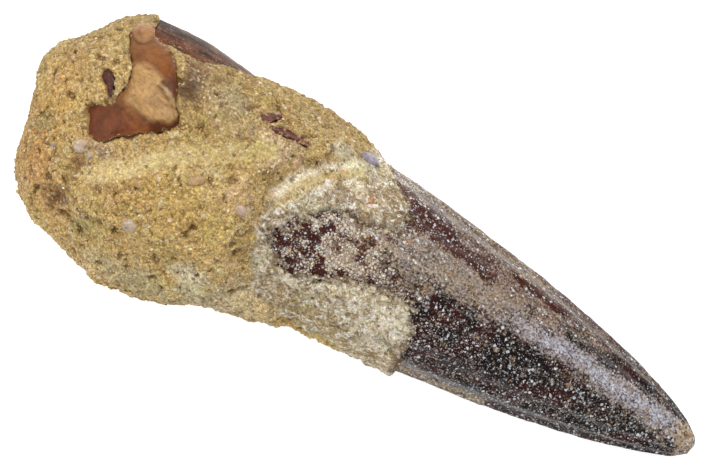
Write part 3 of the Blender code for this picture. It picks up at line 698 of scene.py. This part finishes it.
def strip_distance(x, degrees, side):
    """How far a point is outside the bare strip of root wall, whose upper edge is seen from above."""
    marks = np.array(STRIP_EDGE)
    across = np.interp(x, marks[:, 0], marks[:, 1]) - side
    below = (STRIP_FOOT - signed_degrees(degrees)) * ROOT_RADIUS * math.pi / 180
    beyond = np.maximum(marks[0, 0] - x, x - marks[-1, 0])
    return np.maximum(beyond, np.maximum(across, below))


def stone_lump():
    """The whole lump with its broken faces, large lumps, groove and pits, before the crust is thinned."""
    stations = even_stations(STONE_PROFILE, (1, 2, 3, 4))
    sides = int(STONE_GIRTH / SPACING)
    angle = np.linspace(0, 2 * math.pi, sides, endpoint=False)
    found = along_table(STONE_PROFILE, stations)[:, :, None]
    upper, lower, top, bottom = found[:, 1], found[:, 2], found[:, 3], found[:, 4]
    power = 2 / STONE_ROUNDNESS
    across = np.copysign(np.abs(np.cos(angle)) ** power, np.cos(angle))[None, :]
    up = np.copysign(np.abs(np.sin(angle)) ** power, np.sin(angle))[None, :]
    x = np.repeat(stations[:, None], sides, axis=1)
    middle = np.stack([x, (upper + lower) / 2 + 0 * x, (top + bottom) / 2 + 0 * x], axis=-1)
    half = np.stack([0 * x, (upper - lower) / 2 * across, (top - bottom) / 2 * up], axis=-1)
    points = middle + half
    for facing, distance in BREAKS:
        normal = np.array(facing) / np.linalg.norm(facing)
        over = np.maximum(0, (points - STONE_MIDDLE) @ normal - distance)
        points = points - over[..., None] * normal
    outward = points - middle
    outward /= np.maximum(np.linalg.norm(outward, axis=-1, keepdims=True), 1e-6)

    relief = sum(height * field(points, size) for size, height in LUMPS)
    above = np.maximum(0, up) + 0 * x
    band, groove = (
        np.exp(-((line_distance(line, points[..., 0], points[..., 1]) / BAND_WIDTH) ** 2)) * above
        for line in (PALE_BAND, BAND)
    )
    relief = relief * (1 - 0.6 * groove) - BAND_DEPTH * groove
    for px, py, radius, depth in PITS:
        off = from_above(points, px, py) / radius
        relief = relief - depth * above * np.exp(-off * off)
    return x, points + outward * relief[..., None], above, band


def stone_surface():
    """The stone's outer surface as a grid of points, with what its material needs to know."""
    x, points, above, band = stone_lump()
    section = tooth_section(x)
    dy, dz = points[..., 1] - section[0], points[..., 2] - section[1]
    around = np.arctan2(dz, dy)
    degrees = np.mod(np.degrees(around), 360)
    wall = tooth_radius(x, around, section)
    out = np.hypot(dy, dz)
    # The crust over the foot of the crown keeps one thickness.
    thickness = np.maximum(CRUST, out - wall)
    thick_edge = round_table(THICK_EDGE, degrees)
    crust = CRUST + CRUST_NOISE * field(points, 1.9)
    thinned = crust + (thickness - CRUST) * ease((thick_edge - x) / THICK_STEP)
    radius = np.where(x > THINNED_FROM, wall + thinned, out)

    coarse, small = field(points, 1.6, 7), field(points, 0.7, 3)
    ragged = 0.45 * coarse + 0.35 * small
    strip = strip_distance(x, degrees, section[0] + wall * np.cos(around)) + 0.3 * ragged
    # Above the strip the stone ends in an upright broken face.
    marks = np.array(STRIP_EDGE)
    limit = np.interp(x, marks[:, 0], marks[:, 1]) + 0.35 * ragged - section[0]
    leaning = (np.cos(around) > 0.05) & (dz > 0)
    upright = limit / np.maximum(np.cos(around), 0.05)
    radius = np.where(leaning, np.minimum(radius, np.maximum(upright, wall + 0.2)), radius)
    # At the crust's torn edge and in its window the surface sinks below the enamel.
    window = np.where(dz > 0, -outline_distance(WINDOW_OUTLINE, x, points[..., 1]), FAR)
    end = round_table(STONE_EDGE, degrees) - x
    crisp = ease((degrees - 105) / 15) * ease((250 - degrees) / 15)
    crisp = np.where(end < window, crisp, 0.25)
    step = EDGE_STEP * crisp + LONG_EDGE_STEP * (1 - crisp)
    torn = ragged + (1 - crisp) * (1.1 * small + 1.1 * field(points, 0.42, 9))
    islands = np.where(x < 9, -1 - 0.25 * np.maximum(0, x), -FAR)
    cover = np.maximum(np.minimum(end, window), islands) + 0.35 * (step - EDGE_STEP) + torn
    share = np.minimum(ease(cover / step), ease(strip / 0.3))
    near = (x > THINNED_FROM) | (strip < 2)
    sunk = wall - BELOW_TOOTH + (radius - wall + BELOW_TOOTH) * share
    points = on_section(x, around, np.where(near, sunk, radius), section)
    cover = np.minimum(cover, strip)
    edge = np.where(x > THINNED_FROM, 1 - ease((np.minimum(end, window) + 0.8 * ragged) / 3.2), 0)

    # Fine crumbs, pits and hollows, along the surface's own normal
    normal = grid_normals(points)
    rough = 1 - 0.75 * np.clip(band * 1.4, 0, 1)
    lumpy = 0.3 * field(points, 1.25, 11) + 0.22 * field(points, 0.62, 5)
    ridged = 0.2 * (0.35 - np.abs(field(points, 0.9, 21)) * 2)
    hollow = -0.55 * ease((field(points, 1.1, 31) - 0.28) / 0.25)
    on_crust = ease((x - thick_edge + 1) / 2)
    fine = (lumpy + ridged + hollow) * rough * (1 - 0.5 * on_crust)
    fine = fine * ease((points[..., 2] - 0.1) / 0.5)
    # The fragments lie in pockets, and the stone is smooth round the pebbles.
    for _, outline, *_ in FRAGMENTS:
        deep = ease((outline_distance(outline, points[..., 0], points[..., 1]) + 0.12) / 0.45) * (above > 0.3)
        fine = fine * (1 - deep) - POCKET_DEPTH * deep
    for _, px, py, long_radius, *_ in PEBBLES:
        off = from_above(points, px, py) / long_radius
        fine = fine * (1 - ease((1.4 - off) / 0.6) * (above > 0.3))
    points = points + normal * fine[..., None]
    points[..., 2] = np.maximum(points[..., 2], 0)
    shape = {"relief": fine, "band": band, "crust": on_crust, "above": above, "cover": cover, "edge": edge}
    return points, grid_normals(points), shape


def painted(colour, patches, points, wobble):
    """A colour with soft patches laid over it in turn."""
    for x, y, length, width, rgb, strength in patches:
        off = np.hypot((points[..., 0] - x) / length, (points[..., 1] - y) / width)
        colour = blend(colour, rgb, strength * ease(1.35 - off + 0.45 * wobble))
    return colour


def make_stone(material):
    points, normals, shape = stone_surface()
    x, y = points[..., 0], points[..., 1]
    wobble = field(points, 1.6, 41) + 0.7 * field(points, 0.6, 43)
    broad = 0.5 * field(points, 6, 47)[..., None]
    tint = linear(182, 154, 100) + (linear(196, 168, 112) - linear(172, 142, 90)) * broad
    # Painted light: the stone's colour is made lighter towards negative y and darker towards positive y, in place of
    # light that falls unevenly.
    light = 1 + 0.28 * ease((-5 - y) / 7) - 0.14 * ease((y - 2) / 8)
    tint = painted(tint * light[..., None], STONE_PATCHES, points, wobble)
    band = ease(shape["band"] * 2.2 - 0.75 + 0.35 * wobble)
    pale = blend(linear(188, 166, 112), (206, 184, 130), ease((-20 - x) / 11))
    tint = blend(tint, pale, 0.95 * band)
    mottle = ease(0.5 + 1.3 * field(points, 2.1, 53) + 0.5 * wobble)
    crust = painted(blend(linear(152, 134, 104), (202, 190, 164), mottle), CRUST_PATCHES, points, wobble)
    share = ease(shape["crust"] * 1.2 - 0.1 + 0.5 * wobble)
    tint = blend(tint, crust, share)
    top = shape["above"] > 0.3
    arc = np.where(top, line_distance(CREAM_ARC, x, y), FAR)
    under_arc = np.where(top, line_distance(CREAM_ARC, x - 0.7, y + 0.9), FAR)
    tint = blend(tint, (196, 174, 120), 0.8 * ease(1.5 - under_arc / 1.1 + 0.4 * wobble))
    tint = blend(tint, (236, 226, 200), 0.95 * ease(1.5 - arc / 0.55 + 0.5 * wobble))
    even = np.maximum(0.9 * band, ease(1.6 - arc / 1.3))
    # Painted shade: darker olive where the stone's surface turns away from straight up, along its curving edges.
    tint = blend(tint, (150, 134, 104), 0.5 * ease((0.5 - normals[..., 2]) / 0.4 + 0.2 * wobble))
    poles = [STONE_END, (STONE_PROFILE[-1][0], *points[-1].mean(axis=0)[1:])]
    values = {"tint": tint, "relief": shape["relief"], "crust": share, "worn": shape["edge"], "even": even}
    make_grid("sandstone", points, poles, material, "matrix", **values)
    return points, normals, shape, tint, share


# ---- tooth


def make_tooth(material):
    stations = even_stations(TOOTH_PROFILE, (1, 2))
    angle = np.linspace(0, 2 * math.pi, TOOTH_SIDES, endpoint=False)
    x = np.repeat(stations[:, None], TOOTH_SIDES, axis=1)
    around = np.repeat(angle[None, :], stations.size, axis=0)
    section = tooth_section(x)
    arc = np.stack([x / 6, 9 * np.cos(around), 9 * np.sin(around)], axis=-1)
    crown = ease((x + 2) / 8)
    slim = np.minimum(1, section[2] / 4)
    striae = 0.055 * field(arc, 0.7, 3) + 0.035 * field(arc, 0.35, 8)
    radius = tooth_radius(x, around, section) + striae * (0.4 + 0.6 * crown) * slim
    points = on_section(x, around, radius, section)
    pitted = 0.07 * field(points, 1.4, 13) + 0.05 * field(points, 0.6, 17)
    points = points + grid_normals(points) * (pitted * (0.3 + 0.7 * slim))[..., None]

    place, y, z = np.moveaxis(points, -1, 0)
    signed = signed_degrees(np.degrees(around))
    wobble = field(points, 1.4, 61) + 0.6 * field(points, 0.5, 67)
    streaks = field(np.stack([x / 4, y, z], axis=-1), 0.8, 71)
    tint = blend(linear(16, 7, 7), (44, 14, 10), ease(0.5 + 1.6 * field(points, 3, 73)))
    tint = blend(tint, (68, 32, 23), 0.7 * ease((y - 4) / 3))

    # The film lies on the upper side, in lengthwise lines that are bare in places.
    film, film_tint = -0.06, linear(146, 136, 126)
    upside = ease((z - section[1] + 3 + 1.5 * field(points, 1.6, 79)) / 4)
    for line, width, rgb, amount in FILM_LINES:
        share = ease(1.5 - line_distance(line, place, y) / width + 0.15 * wobble) * upside
        film = film + (np.maximum(film, amount) - film) * share
        film_tint = blend(film_tint, rgb, share)
    for line, width in BARE_LINES:
        film = film - 0.7 * ease(1.5 - line_distance(line, place, y) / width + 0.25 * wobble)
    film = film + 0.34 * streaks
    # Along the ridge the film turns pale and bluish, partly mineral film and partly a painted highlight.
    off = line_distance(PAINTED_SHEEN_LINE, place, y + 0.25 * wobble) / PAINTED_SHEEN_WIDTH
    painted_sheen = np.exp(-off * off) * ease((x - 15) / 12) * ease((44 - x) / 4) * upside
    film = film + (0.8 + 0.2 * wobble - film) * painted_sheen
    film_tint = blend(film_tint, (168, 170, 184), 0.85 * painted_sheen)
    for px, py, radius in OCHRE_SPOTS:
        share = 0.85 * ease(1.35 - from_above(points, px, py) / radius + 0.4 * wobble) * upside
        film = film + (1 - film) * share
        film_tint = blend(film_tint, (150, 116, 74), share)

    # Specks are thickest beside the stone and along the lower side, and thin on the ridge.
    speck = 0.42 + 0.2 * ease((14 - x) / 16) - 0.2 * ease(1.3 - np.abs(y - 2.5) / 2.5)
    speck = speck + 0.16 * wobble + 0.12 * ease(-y / 4) - 0.14 * ease((y - 3) / 2)
    inside = ease((4 - x) / 5)
    clumps = ease(0.5 + 1.3 * field(points, 1.5, 83))
    speck = speck * (1 - inside) + (0.3 + 0.4 * clumps) * inside
    tint = blend(tint, (66, 30, 22), 0.7 * inside)
    film = film + 0.75 * (clumps - 0.45) * inside
    film_tint = blend(film_tint, (164, 146, 122), 0.6 * clumps * inside)

    # The bare strip of root wall: dark brown, amber at its upper edge, worn pale along its ridge
    root = ease((-13 - x) / 3)
    side = y + 0.25 * wobble + 0.15 * streaks
    strip = linear(62, 42, 32)
    for rgb, level, width, share in (
        ((52, 34, 26), 15.5, 0.2, ease((signed + 20) / 10)),
        ((96, 62, 42), 15.15, 0.3, 1),
        ((62, 36, 24), 14.5, 0.25, 1),
        ((112, 70, 42), 14.15, 0.25, 1),
        ((100, 54, 22), 14.5, 0.5, ease((-28.5 - x + 0.8 * wobble) / 3)),
    ):
        strip = blend(strip, rgb, share * ease((level - side) / width))
    strip = blend(strip, (74, 54, 40), ease((x + 26) / 4))
    ridge = ease((signed + 4) / 6) * ease((14 - signed) / 8 + 0.4 * wobble) * ease(0.6 + 1.2 * streaks)
    strip = blend(strip, (132, 112, 92), 0.85 * ridge)
    strip = 0.78 * strip * (1 + 0.5 * np.clip(streaks + 0.5 * wobble, -1, 1))[..., None]
    tint = blend(tint, strip, root)
    film, speck = film * (1 - root), speck * (1 - root)
    low_side = ease((0.35 - np.abs(np.abs(signed) - 180) / 60) / 0.25)

    poles = [(TOOTH_PROFILE[0][0], *points[0].mean(axis=0)[1:]), TOOTH_TIP]
    values = {"tint": tint, "film": film, "speck": speck, "film_tint": film_tint, "dull": np.maximum(root, low_side)}
    make_grid("fossil_tooth", points, poles, material, "tooth", **values)
    return points, grid_normals(points), speck, clumps


# ---- fragments and pebbles


def rounded_outline(outline, count):
    """A smooth closed curve through an outline's corners, as evenly spaced points."""
    corners = np.array(outline, float)
    a, b, c, d = (np.roll(corners, -k, axis=0)[:, None, :] for k in (-1, 0, 1, 2))
    t = np.linspace(0, 1, 24, endpoint=False)[:, None]
    dense = 0.5 * (2 * b + (c - a) * t + (2 * a - 5 * b + 4 * c - d) * t**2 + (3 * b - a - 3 * c + d) * t**3)
    dense = dense.reshape(-1, 2)
    closed = np.concatenate([dense, dense[:1]])
    length = np.concatenate([[0], np.cumsum(np.linalg.norm(np.diff(closed, axis=0), axis=1))])
    want = np.linspace(0, length[-1], count, endpoint=False)
    return np.stack([np.interp(want, length, closed[:, k]) for k in (0, 1)], axis=-1)


def make_fragment(name, outline, heart, thickness, proud, material):
    """A slab of bone with an uneven broken edge, its top following the stone's upper face."""
    amber = name == "amber_fragment"
    count, steps, rough = (220, 36, (0.3, 0.18)) if amber else (110, 14, (0.16, 0.24))
    heart = np.array(heart)
    edge = rounded_outline(outline, count)
    ragged = np.concatenate([edge, np.zeros((count, 1))], axis=1)
    away = edge - heart
    away /= np.linalg.norm(away, axis=1, keepdims=True)
    edge = edge + away * (rough[0] * field(ragged, 0.9, 5) + rough[1] * field(ragged, 0.4, 9))[:, None]
    foot = heart + (edge - heart) * 0.92
    rings = [np.column_stack([foot, top_of_stone(foot[:, 0], foot[:, 1]) - thickness])]
    rims = [np.zeros(count)]
    for share in [1, 0.985, 0.96, *np.linspace(0.93, 0.04, steps)]:
        ring = heart + (edge - heart) * share
        inside = np.maximum(0, outline_distance(outline, ring[:, 0], ring[:, 1]))
        rise = 1 - np.exp(-inside / 0.35)
        height = top_of_stone(ring[:, 0], ring[:, 1]) - 0.25 + (proud + 0.25) * rise * (share < 1)
        if amber:
            height = height + amber_relief(ring, inside)
        place = np.column_stack([ring, height])
        place[:, 2] += rise * (0.1 * field(place, 1.5, 3) + 0.05 * field(place, 0.5, 7))
        rings.append(place)
        rims.append(inside)
    under = (*heart, float(top_of_stone(*heart)) - thickness)
    points = np.concatenate([*rings, [under], [rings[-1].mean(axis=0)]])
    rim = np.concatenate([*rims, [0], rims[-1][-1:]])
    faces = grid_faces(len(rings), count)
    if sum(a[0] * b[1] - b[0] * a[1] for a, b in zip(outline, outline[1:] + outline[:1])) > 0:
        faces = [tuple(reversed(face)) for face in faces]
    extra = {}
    if amber:
        # Growth lines fan out from a point beyond the piece.
        dx, dy = (points[:, :2] - FAN_CENTRE).T
        extra = {"tint": amber_tint(points), "turn": np.arctan2(dy, dx) * 60, "reach": np.hypot(dx, dy) * 0.4}
    make_piece(name + "_piece", points, faces, material, name, rim=rim, **extra)


def beyond_lobe(x, y):
    """How far a point of the amber piece is above the brown lower lobe's edge."""
    return (x + 33.5) * 0.35 + (y - 3.9) * 0.93


def amber_relief(ring, inside):
    """The brown lobe lies lower, the peach lobe's end is a rounded lip, and a groove runs round the knob."""
    x, y = ring.T
    lip = ease((outline_distance(PEACH_OUTLINE, x, y) + 0.3) / 0.7)
    off_knob = from_above(ring, *KNOB[:2]) / KNOB[2]
    groove = -0.25 * np.exp(-(((off_knob - 1) / 0.2) ** 2)) * ease(13.6 - y)
    return (-0.55 * ease(0.5 - beyond_lobe(x, y)) + 0.25 * lip + groove) * ease(inside / 0.5)


def amber_tint(points):
    x, y = points[:, 0], points[:, 1]
    wobble = field(points, 1.2, 5) + 0.6 * field(points, 0.45, 9)
    colour = blend(linear(118, 74, 36), (80, 36, 3), ease((x + 33 + 0.5 * wobble) / 2.4))
    peach = ease((outline_distance(PEACH_OUTLINE, x, y) + 0.35 + 0.3 * wobble) / 0.9)
    pale = linear(164, 128, 80) * (1 + 0.22 * np.clip(-wobble, -1, 1))[:, None]
    colour = blend(colour, pale, 0.92 * peach)
    glow = ease(1.4 - np.hypot((x + 31.6) / 1.6, (y - 11) / 1.2) + 0.4 * wobble)
    colour = blend(colour, (128, 72, 14), 0.6 * glow)
    lip = ease(1.5 - line_distance(LIP_LINE, x, y) / 0.2 + 0.8 * wobble)
    colour = blend(colour, (206, 176, 124), 0.5 * lip)
    crease = ease(1.5 - line_distance(LIP_LINE, x - 0.45, y - 0.45) / 0.25 + 0.3 * wobble)
    colour = blend(colour, (92, 48, 18), 0.7 * crease)
    lobe = ease(0.5 - beyond_lobe(x + 0.3 * wobble, y + 0.3 * wobble))
    brown = linear(98, 50, 22) * (1 + 0.35 * np.clip(wobble, -1, 1))[:, None]
    colour = blend(colour, brown, lobe * (1 - 0.8 * peach))
    seam = np.exp(-(((beyond_lobe(x, y) - 0.35 * wobble) / 0.7) ** 2)) * (1 - 0.5 * peach)
    colour = blend(colour, (146, 88, 42), 0.5 * seam * ease((x + 34.5) / 1.5))
    off_knob = from_above(points, *KNOB[:2]) / KNOB[2]
    colour = blend(colour, (150, 108, 68), ease((1.15 - off_knob) / 0.3))
    # Painted shade: a dark line in the groove round the knob.
    line = np.exp(-(((off_knob - 1) / 0.16) ** 2)) * ease(13.6 - y)
    return blend(colour, (88, 52, 30), 0.8 * line)


def cube_ball(side):
    """A ball made from a cube's six sheets of points, and its faces."""
    u = np.linspace(-1, 1, side)
    a, b = np.meshgrid(u, u, indexing="ij")
    sheets = []
    for axis in range(3):
        for sign, pair in ((-1, (b, a)), (1, (a, b))):
            sheets.append(np.roll(np.stack([np.full_like(a, sign), *pair], axis=-1), axis, axis=-1).reshape(-1, 3))
    corners = np.concatenate(sheets)
    _, first, index = np.unique(np.round(corners, 5), axis=0, return_index=True, return_inverse=True)
    ball = corners[first]
    tile = np.arange(len(corners)).reshape(6, side, side)
    quads = np.stack([tile[:, :-1, :-1], tile[:, 1:, :-1], tile[:, 1:, 1:], tile[:, :-1, 1:]], axis=-1)
    return ball / np.linalg.norm(ball, axis=1, keepdims=True), index.reshape(-1)[quads].reshape(-1, 4).tolist()


def make_pebble(name, x, y, long_radius, short_radius, turn, material, height, node):
    """A worn pebble with a few flat faces, whose middle lies at the stone's surface."""
    ball, faces = cube_ball(PEBBLE_SIDE)
    worn = 1 + 0.16 * field(ball * 1.3 + np.array((x, y, 0)), 1)
    rng = np.random.default_rng(int(1000 + abs(x * 37 + y * 11)))
    flats = rng.normal(size=(12, 3))
    flats /= np.linalg.norm(flats, axis=1, keepdims=True)
    reach = rng.uniform(0.72, 0.98, 12)
    broken = np.min(reach / np.maximum(ball @ flats.T, 0.05), axis=1)
    worn = np.minimum(worn, 0.25 * worn + 0.75 * broken)
    chipped = 0.03 * field(ball, 0.35, x) + 0.015 * field(ball, 0.16, y)
    radii = np.array((long_radius, short_radius, short_radius * PEBBLE_HEIGHT))
    along, across, up = (ball * (worn + chipped)[:, None] * radii * 0.98).T
    cos, sin = math.cos(math.radians(turn)), math.sin(math.radians(turn))
    place = np.stack([x + along * cos - across * sin, y + along * sin + across * cos, height - 0.1 + up], axis=-1)
    made = make_piece(name + "_piece" if node else name, place, faces, material, node)


# ---- grains


def icosahedron():
    gold = (1 + math.sqrt(5)) / 2
    corners = []
    for a in (-1, 1):
        for b in (-gold, gold):
            corners += [(a, b, 0), (0, a, b), (b, 0, a)]
    corners = np.array(corners) / math.hypot(1, gold)
    edge = min(np.linalg.norm(corners[1:] - corners[0], axis=1))
    faces = []
    for i, j, k in itertools.combinations(range(12), 3):
        p, q, r = corners[[i, j, k]]
        if max(np.linalg.norm([p - q, q - r, p - r], axis=1)) < edge * 1.01:
            faces.append((i, j, k) if np.dot(np.cross(q - p, r - p), p) > 0 else (i, k, j))
    return corners, np.array(faces)


BALL, BALL_FACES = icosahedron()


def make_grains(name, places, normals, sizes, colours, gloss, material, rng, bury=0.25):
    """Angular grains of sand set part way into a surface, joined in one mesh."""
    count = len(places)
    quaternion = rng.normal(size=(count, 4))
    quaternion /= np.linalg.norm(quaternion, axis=1, keepdims=True)
    w, a, b, c = quaternion.T
    turn = np.stack([
        1 - 2 * (b * b + c * c), 2 * (a * b - c * w), 2 * (a * c + b * w),
        2 * (a * b + c * w), 1 - 2 * (a * a + c * c), 2 * (b * c - a * w),
        2 * (a * c - b * w), 2 * (b * c + a * w), 1 - 2 * (a * a + b * b),
    ], axis=-1).reshape(-1, 3, 3)
    shape = sizes[:, None] * rng.uniform((0.85, 0.65, 0.5), (1.15, 0.95, 0.85), (count, 3)) / 2
    jitter = rng.uniform(0.82, 1.15, (count, 12, 1))
    local = BALL[None] * jitter * shape[:, None, :]
    world = np.einsum("nij,nkj->nki", turn, local)
    middle = places - normals * (sizes * bury)[:, None] / 2
    points = (middle[:, None, :] + world).reshape(-1, 3)
    points[:, 2] = np.maximum(points[:, 2], 0)
    faces = (BALL_FACES[None] + 12 * np.arange(count)[:, None, None]).reshape(-1, 3).tolist()
    tint = np.repeat(colours, 12, axis=0)
    made = make_piece(name, points, faces, material, smooth=False, tint=tint, gloss=np.repeat(gloss, 12))


def scattered(points, normals, weight, count, rng):
    """Random places on a grid's faces, as many as asked for, thickest where the weight is high."""
    right = np.roll(points, -1, axis=1)
    a, b, c = points[:-1], right[:-1], points[1:]
    area = np.linalg.norm(np.cross(b - a, c - a), axis=-1)
    chance = (area * np.maximum(0, weight[:-1])).reshape(-1)
    chosen = rng.choice(chance.size, count, p=chance / chance.sum())
    u, v = rng.random((2, count, 1))
    a, b, c, d = (corner.reshape(-1, 3)[chosen] for corner in (a, b, c, right[1:]))
    place = a * (1 - u) * (1 - v) + b * u * (1 - v) + c * (1 - u) * v + d * u * v
    return place, normals[:-1].reshape(-1, 3)[chosen], chosen


def varied(colour, count, rng, spread):
    """Colours with each grain's own brightness and a little of its own hue."""
    value = np.exp(rng.normal(0, spread, (count, 1)))
    hue = 1 + rng.normal(0, 0.05, (count, 3))
    return np.clip(colour * value * hue, 0, 1)


def scatter_sand(points, normals, shape, tint, share, material, rng):
    bare = ease(shape["cover"] / 0.4)
    clear = np.ones(points.shape[:2])
    for _, outline, *_ in FRAGMENTS:
        inside = outline_distance(outline, points[..., 0], points[..., 1])
        clear = clear * np.where(shape["above"] > 0.2, ease((-0.02 - inside) / 0.2), 1)
    band = 1 - np.clip(shape["band"] * 1.6, 0, 0.92)
    off_floor = ease((points[..., 2] - 0.3) / 0.6)
    weight = bare * clear * band * (1 - 0.45 * share) * off_floor
    count = SAND_GRAINS
    for part in ("a", "b"):
        place, normal, chosen = scattered(points, normals, weight, count, rng)
        colour = varied(tint[:-1].reshape(-1, 3)[chosen], count, rng, 0.13)
        kind = rng.random(count)
        pale, dark = kind > 0.95, kind < 0.04
        colour[pale] = varied(linear(204, 190, 160), pale.sum(), rng, 0.1)
        colour[dark] = varied(linear(118, 92, 62), dark.sum(), rng, 0.15)
        size = np.exp(rng.normal(math.log(SAND_SIZE), 0.28, count))
        gloss = np.where(pale, 0.8, rng.random(count) * 0.35)
        make_grains("sand_" + part, place, normal, size, colour, gloss, material, rng)


def scatter_specks(points, normals, speck, clumps, material, rng):
    """Pale mineral grains stuck to the enamel, thickest beside the stone."""
    x = points[..., 0]
    height = points[..., 2] - tooth_section(x)[1]
    weight = np.maximum(0, speck - 0.25) ** 1.5 * ease((x + 11) / 1) * ease((44 - x) / 3)
    weight = weight * (0.35 + 0.65 * ease((height + 2) / 3))
    weight = weight * (0.3 + 4 * clumps * ease((9 - x) / 10))
    count = SPECK_GRAINS
    place, normal, _ = scattered(points, normals, weight, count, rng)
    beside = ease((8 - place[:, 0]) / 8)
    size = np.exp(rng.normal(math.log(SPECK_SIZE), 0.25, count)) * (1 + 1.3 * beside)
    beside = beside[:, None]
    pick = rng.random((count, 1)) + 0.12 * beside
    cool = np.where(pick < 0.75, linear(150, 143, 134), linear(186, 182, 174))
    cool = np.where(pick < 0.25, linear(120, 106, 92), cool)
    warm = np.where(pick < 0.6, linear(170, 152, 128), linear(206, 198, 182))
    warm = np.where(pick < 0.3, linear(134, 106, 76), warm)
    colour = np.where(rng.random((count, 1)) < 0.85 * beside, warm, cool)
    colour = varied(colour, count, rng, 0.15)
    make_grains("mineral_specks", place, normal, size, colour, rng.random(count) * 0.7, material, rng, bury=0.5)


def build_object():
    points, normals, shape, tint, share = make_stone(sandstone())
    tooth = make_tooth(enamel())

    splinter = old_bone("purple_bone", linear(36, 14, 13), linear(112, 64, 52), 0.1)
    sliver = old_bone("maroon_bone", linear(48, 18, 16), linear(122, 74, 62), 2.4)
    for row, look in zip(FRAGMENTS, (dentine(), splinter, sliver, sliver)):
        make_fragment(*row, look)

    up = shape["above"] > 0

    def surface_height(x, y):
        off = np.where(up, from_above(points, x, y), 1e9)
        return float(points.reshape(-1, 3)[np.argsort(off, axis=None)[:12], 2].mean())

    sand = linear(178, 142, 84)
    for row in PEBBLES + SMALL_PEBBLES:
        name, x, y, long_radius, short_radius, turn, deep, pale = row
        # The large lilac pebble stands clear of the sand.
        clean = name == "large_lilac"
        look = worn_pebble(name, linear(*deep), linear(*pale), linear(*pale) if clean else sand)
        height = surface_height(x, y) + (0.3 if clean else 0)
        node = name if row in PEBBLES else None
        make_pebble(name, x, y, long_radius, short_radius, turn, look, height, node)

    rng = np.random.default_rng(7)
    grain = loose_grain()
    scatter_sand(points, normals, shape, tint, share, grain, rng)
    scatter_specks(*tooth, grain, rng)


# ---- floor, light and camera

# The camera's turn, the width of its view, its lens and sensor, and the place that it looks at
TURN = math.radians(27)
FRAME_WIDTH = 84.96
FOCAL = 1000
SENSOR = 36
AIM = (-2.448, 3, 13)
# The floor's half width and its drop below the stone, in metres, and its own light
FLOOR_REACH = 1.5
FLOOR_DROP = 0.00005
FLOOR_GLOW = 0.54
WORLD_LIGHT = 0.6
WHITE = (1, 1, 1, 1)
# Each light's name, direction, distance and size in metres, and power in watts
LIGHTS = (
    ("overhead", (0.05, 0.62, 0.78), 0.6, (0.4, 0.08), 2.4),
    ("side_fill", (-0.66, -0.3, 0.69), 0.8, (0.6, 0.6), 3),
)


def make_stage():
    s = Shader("paper")
    speckle = s.step(s.noise(40, 2), 0.3, 0.7, 0, 0.04)
    colour = s.mix(speckle, (0.86, 0.86, 0.86), (0.82, 0.82, 0.82))
    data = bpy.data.meshes.new("floor")
    corners = [(x * FLOOR_REACH, y * FLOOR_REACH, 0) for x, y in ((-1, -1), (1, -1), (1, 1), (-1, 1))]
    data.from_pydata(corners, [], [(0, 1, 2, 3)])
    data.materials.append(s.set(Base_Color=colour, Roughness=0.9, Emission_Color=WHITE, Emission_Strength=FLOOR_GLOW))
    floor = placed("floor", data)
    floor.location.z = -FLOOR_DROP


def make_light(name, direction, distance, size, power):
    data = bpy.data.lights.new(name, "AREA")
    data.shape = "RECTANGLE"
    data.size, data.size_y = size
    data.energy = power
    light = placed(name, data)
    toward = Vector(direction).normalized()
    light.location = toward * distance
    light.rotation_euler = toward.to_track_quat("Z", "Y").to_euler()


def make_camera():
    """A far camera straight above, turned so that the tooth points down to the right."""
    data = bpy.data.cameras.new("camera")
    data.lens = FOCAL
    data.sensor_width = SENSOR
    data.clip_start = 0.01
    data.clip_end = 10
    camera = placed("camera", data)
    above = FRAME_WIDTH * FOCAL / SENSOR
    camera.location = (AIM[0] * MM, AIM[1] * MM, (AIM[2] + above) * MM)
    camera.rotation_euler = (0, 0, TURN)
    bpy.context.scene.camera = camera


def make_world():
    world = bpy.data.worlds.new("studio")
    bpy.context.scene.world = world
    world.use_nodes = True
    background = world.node_tree.nodes["Background"]
    background.inputs["Color"].default_value = WHITE
    background.inputs["Strength"].default_value = WORLD_LIGHT
    bpy.context.scene.view_settings.view_transform = "Standard"
    bpy.context.scene.view_settings.look = "None"


make_camera()
make_world()
make_stage()
for light in LIGHTS:
    make_light(*light)
build_object()
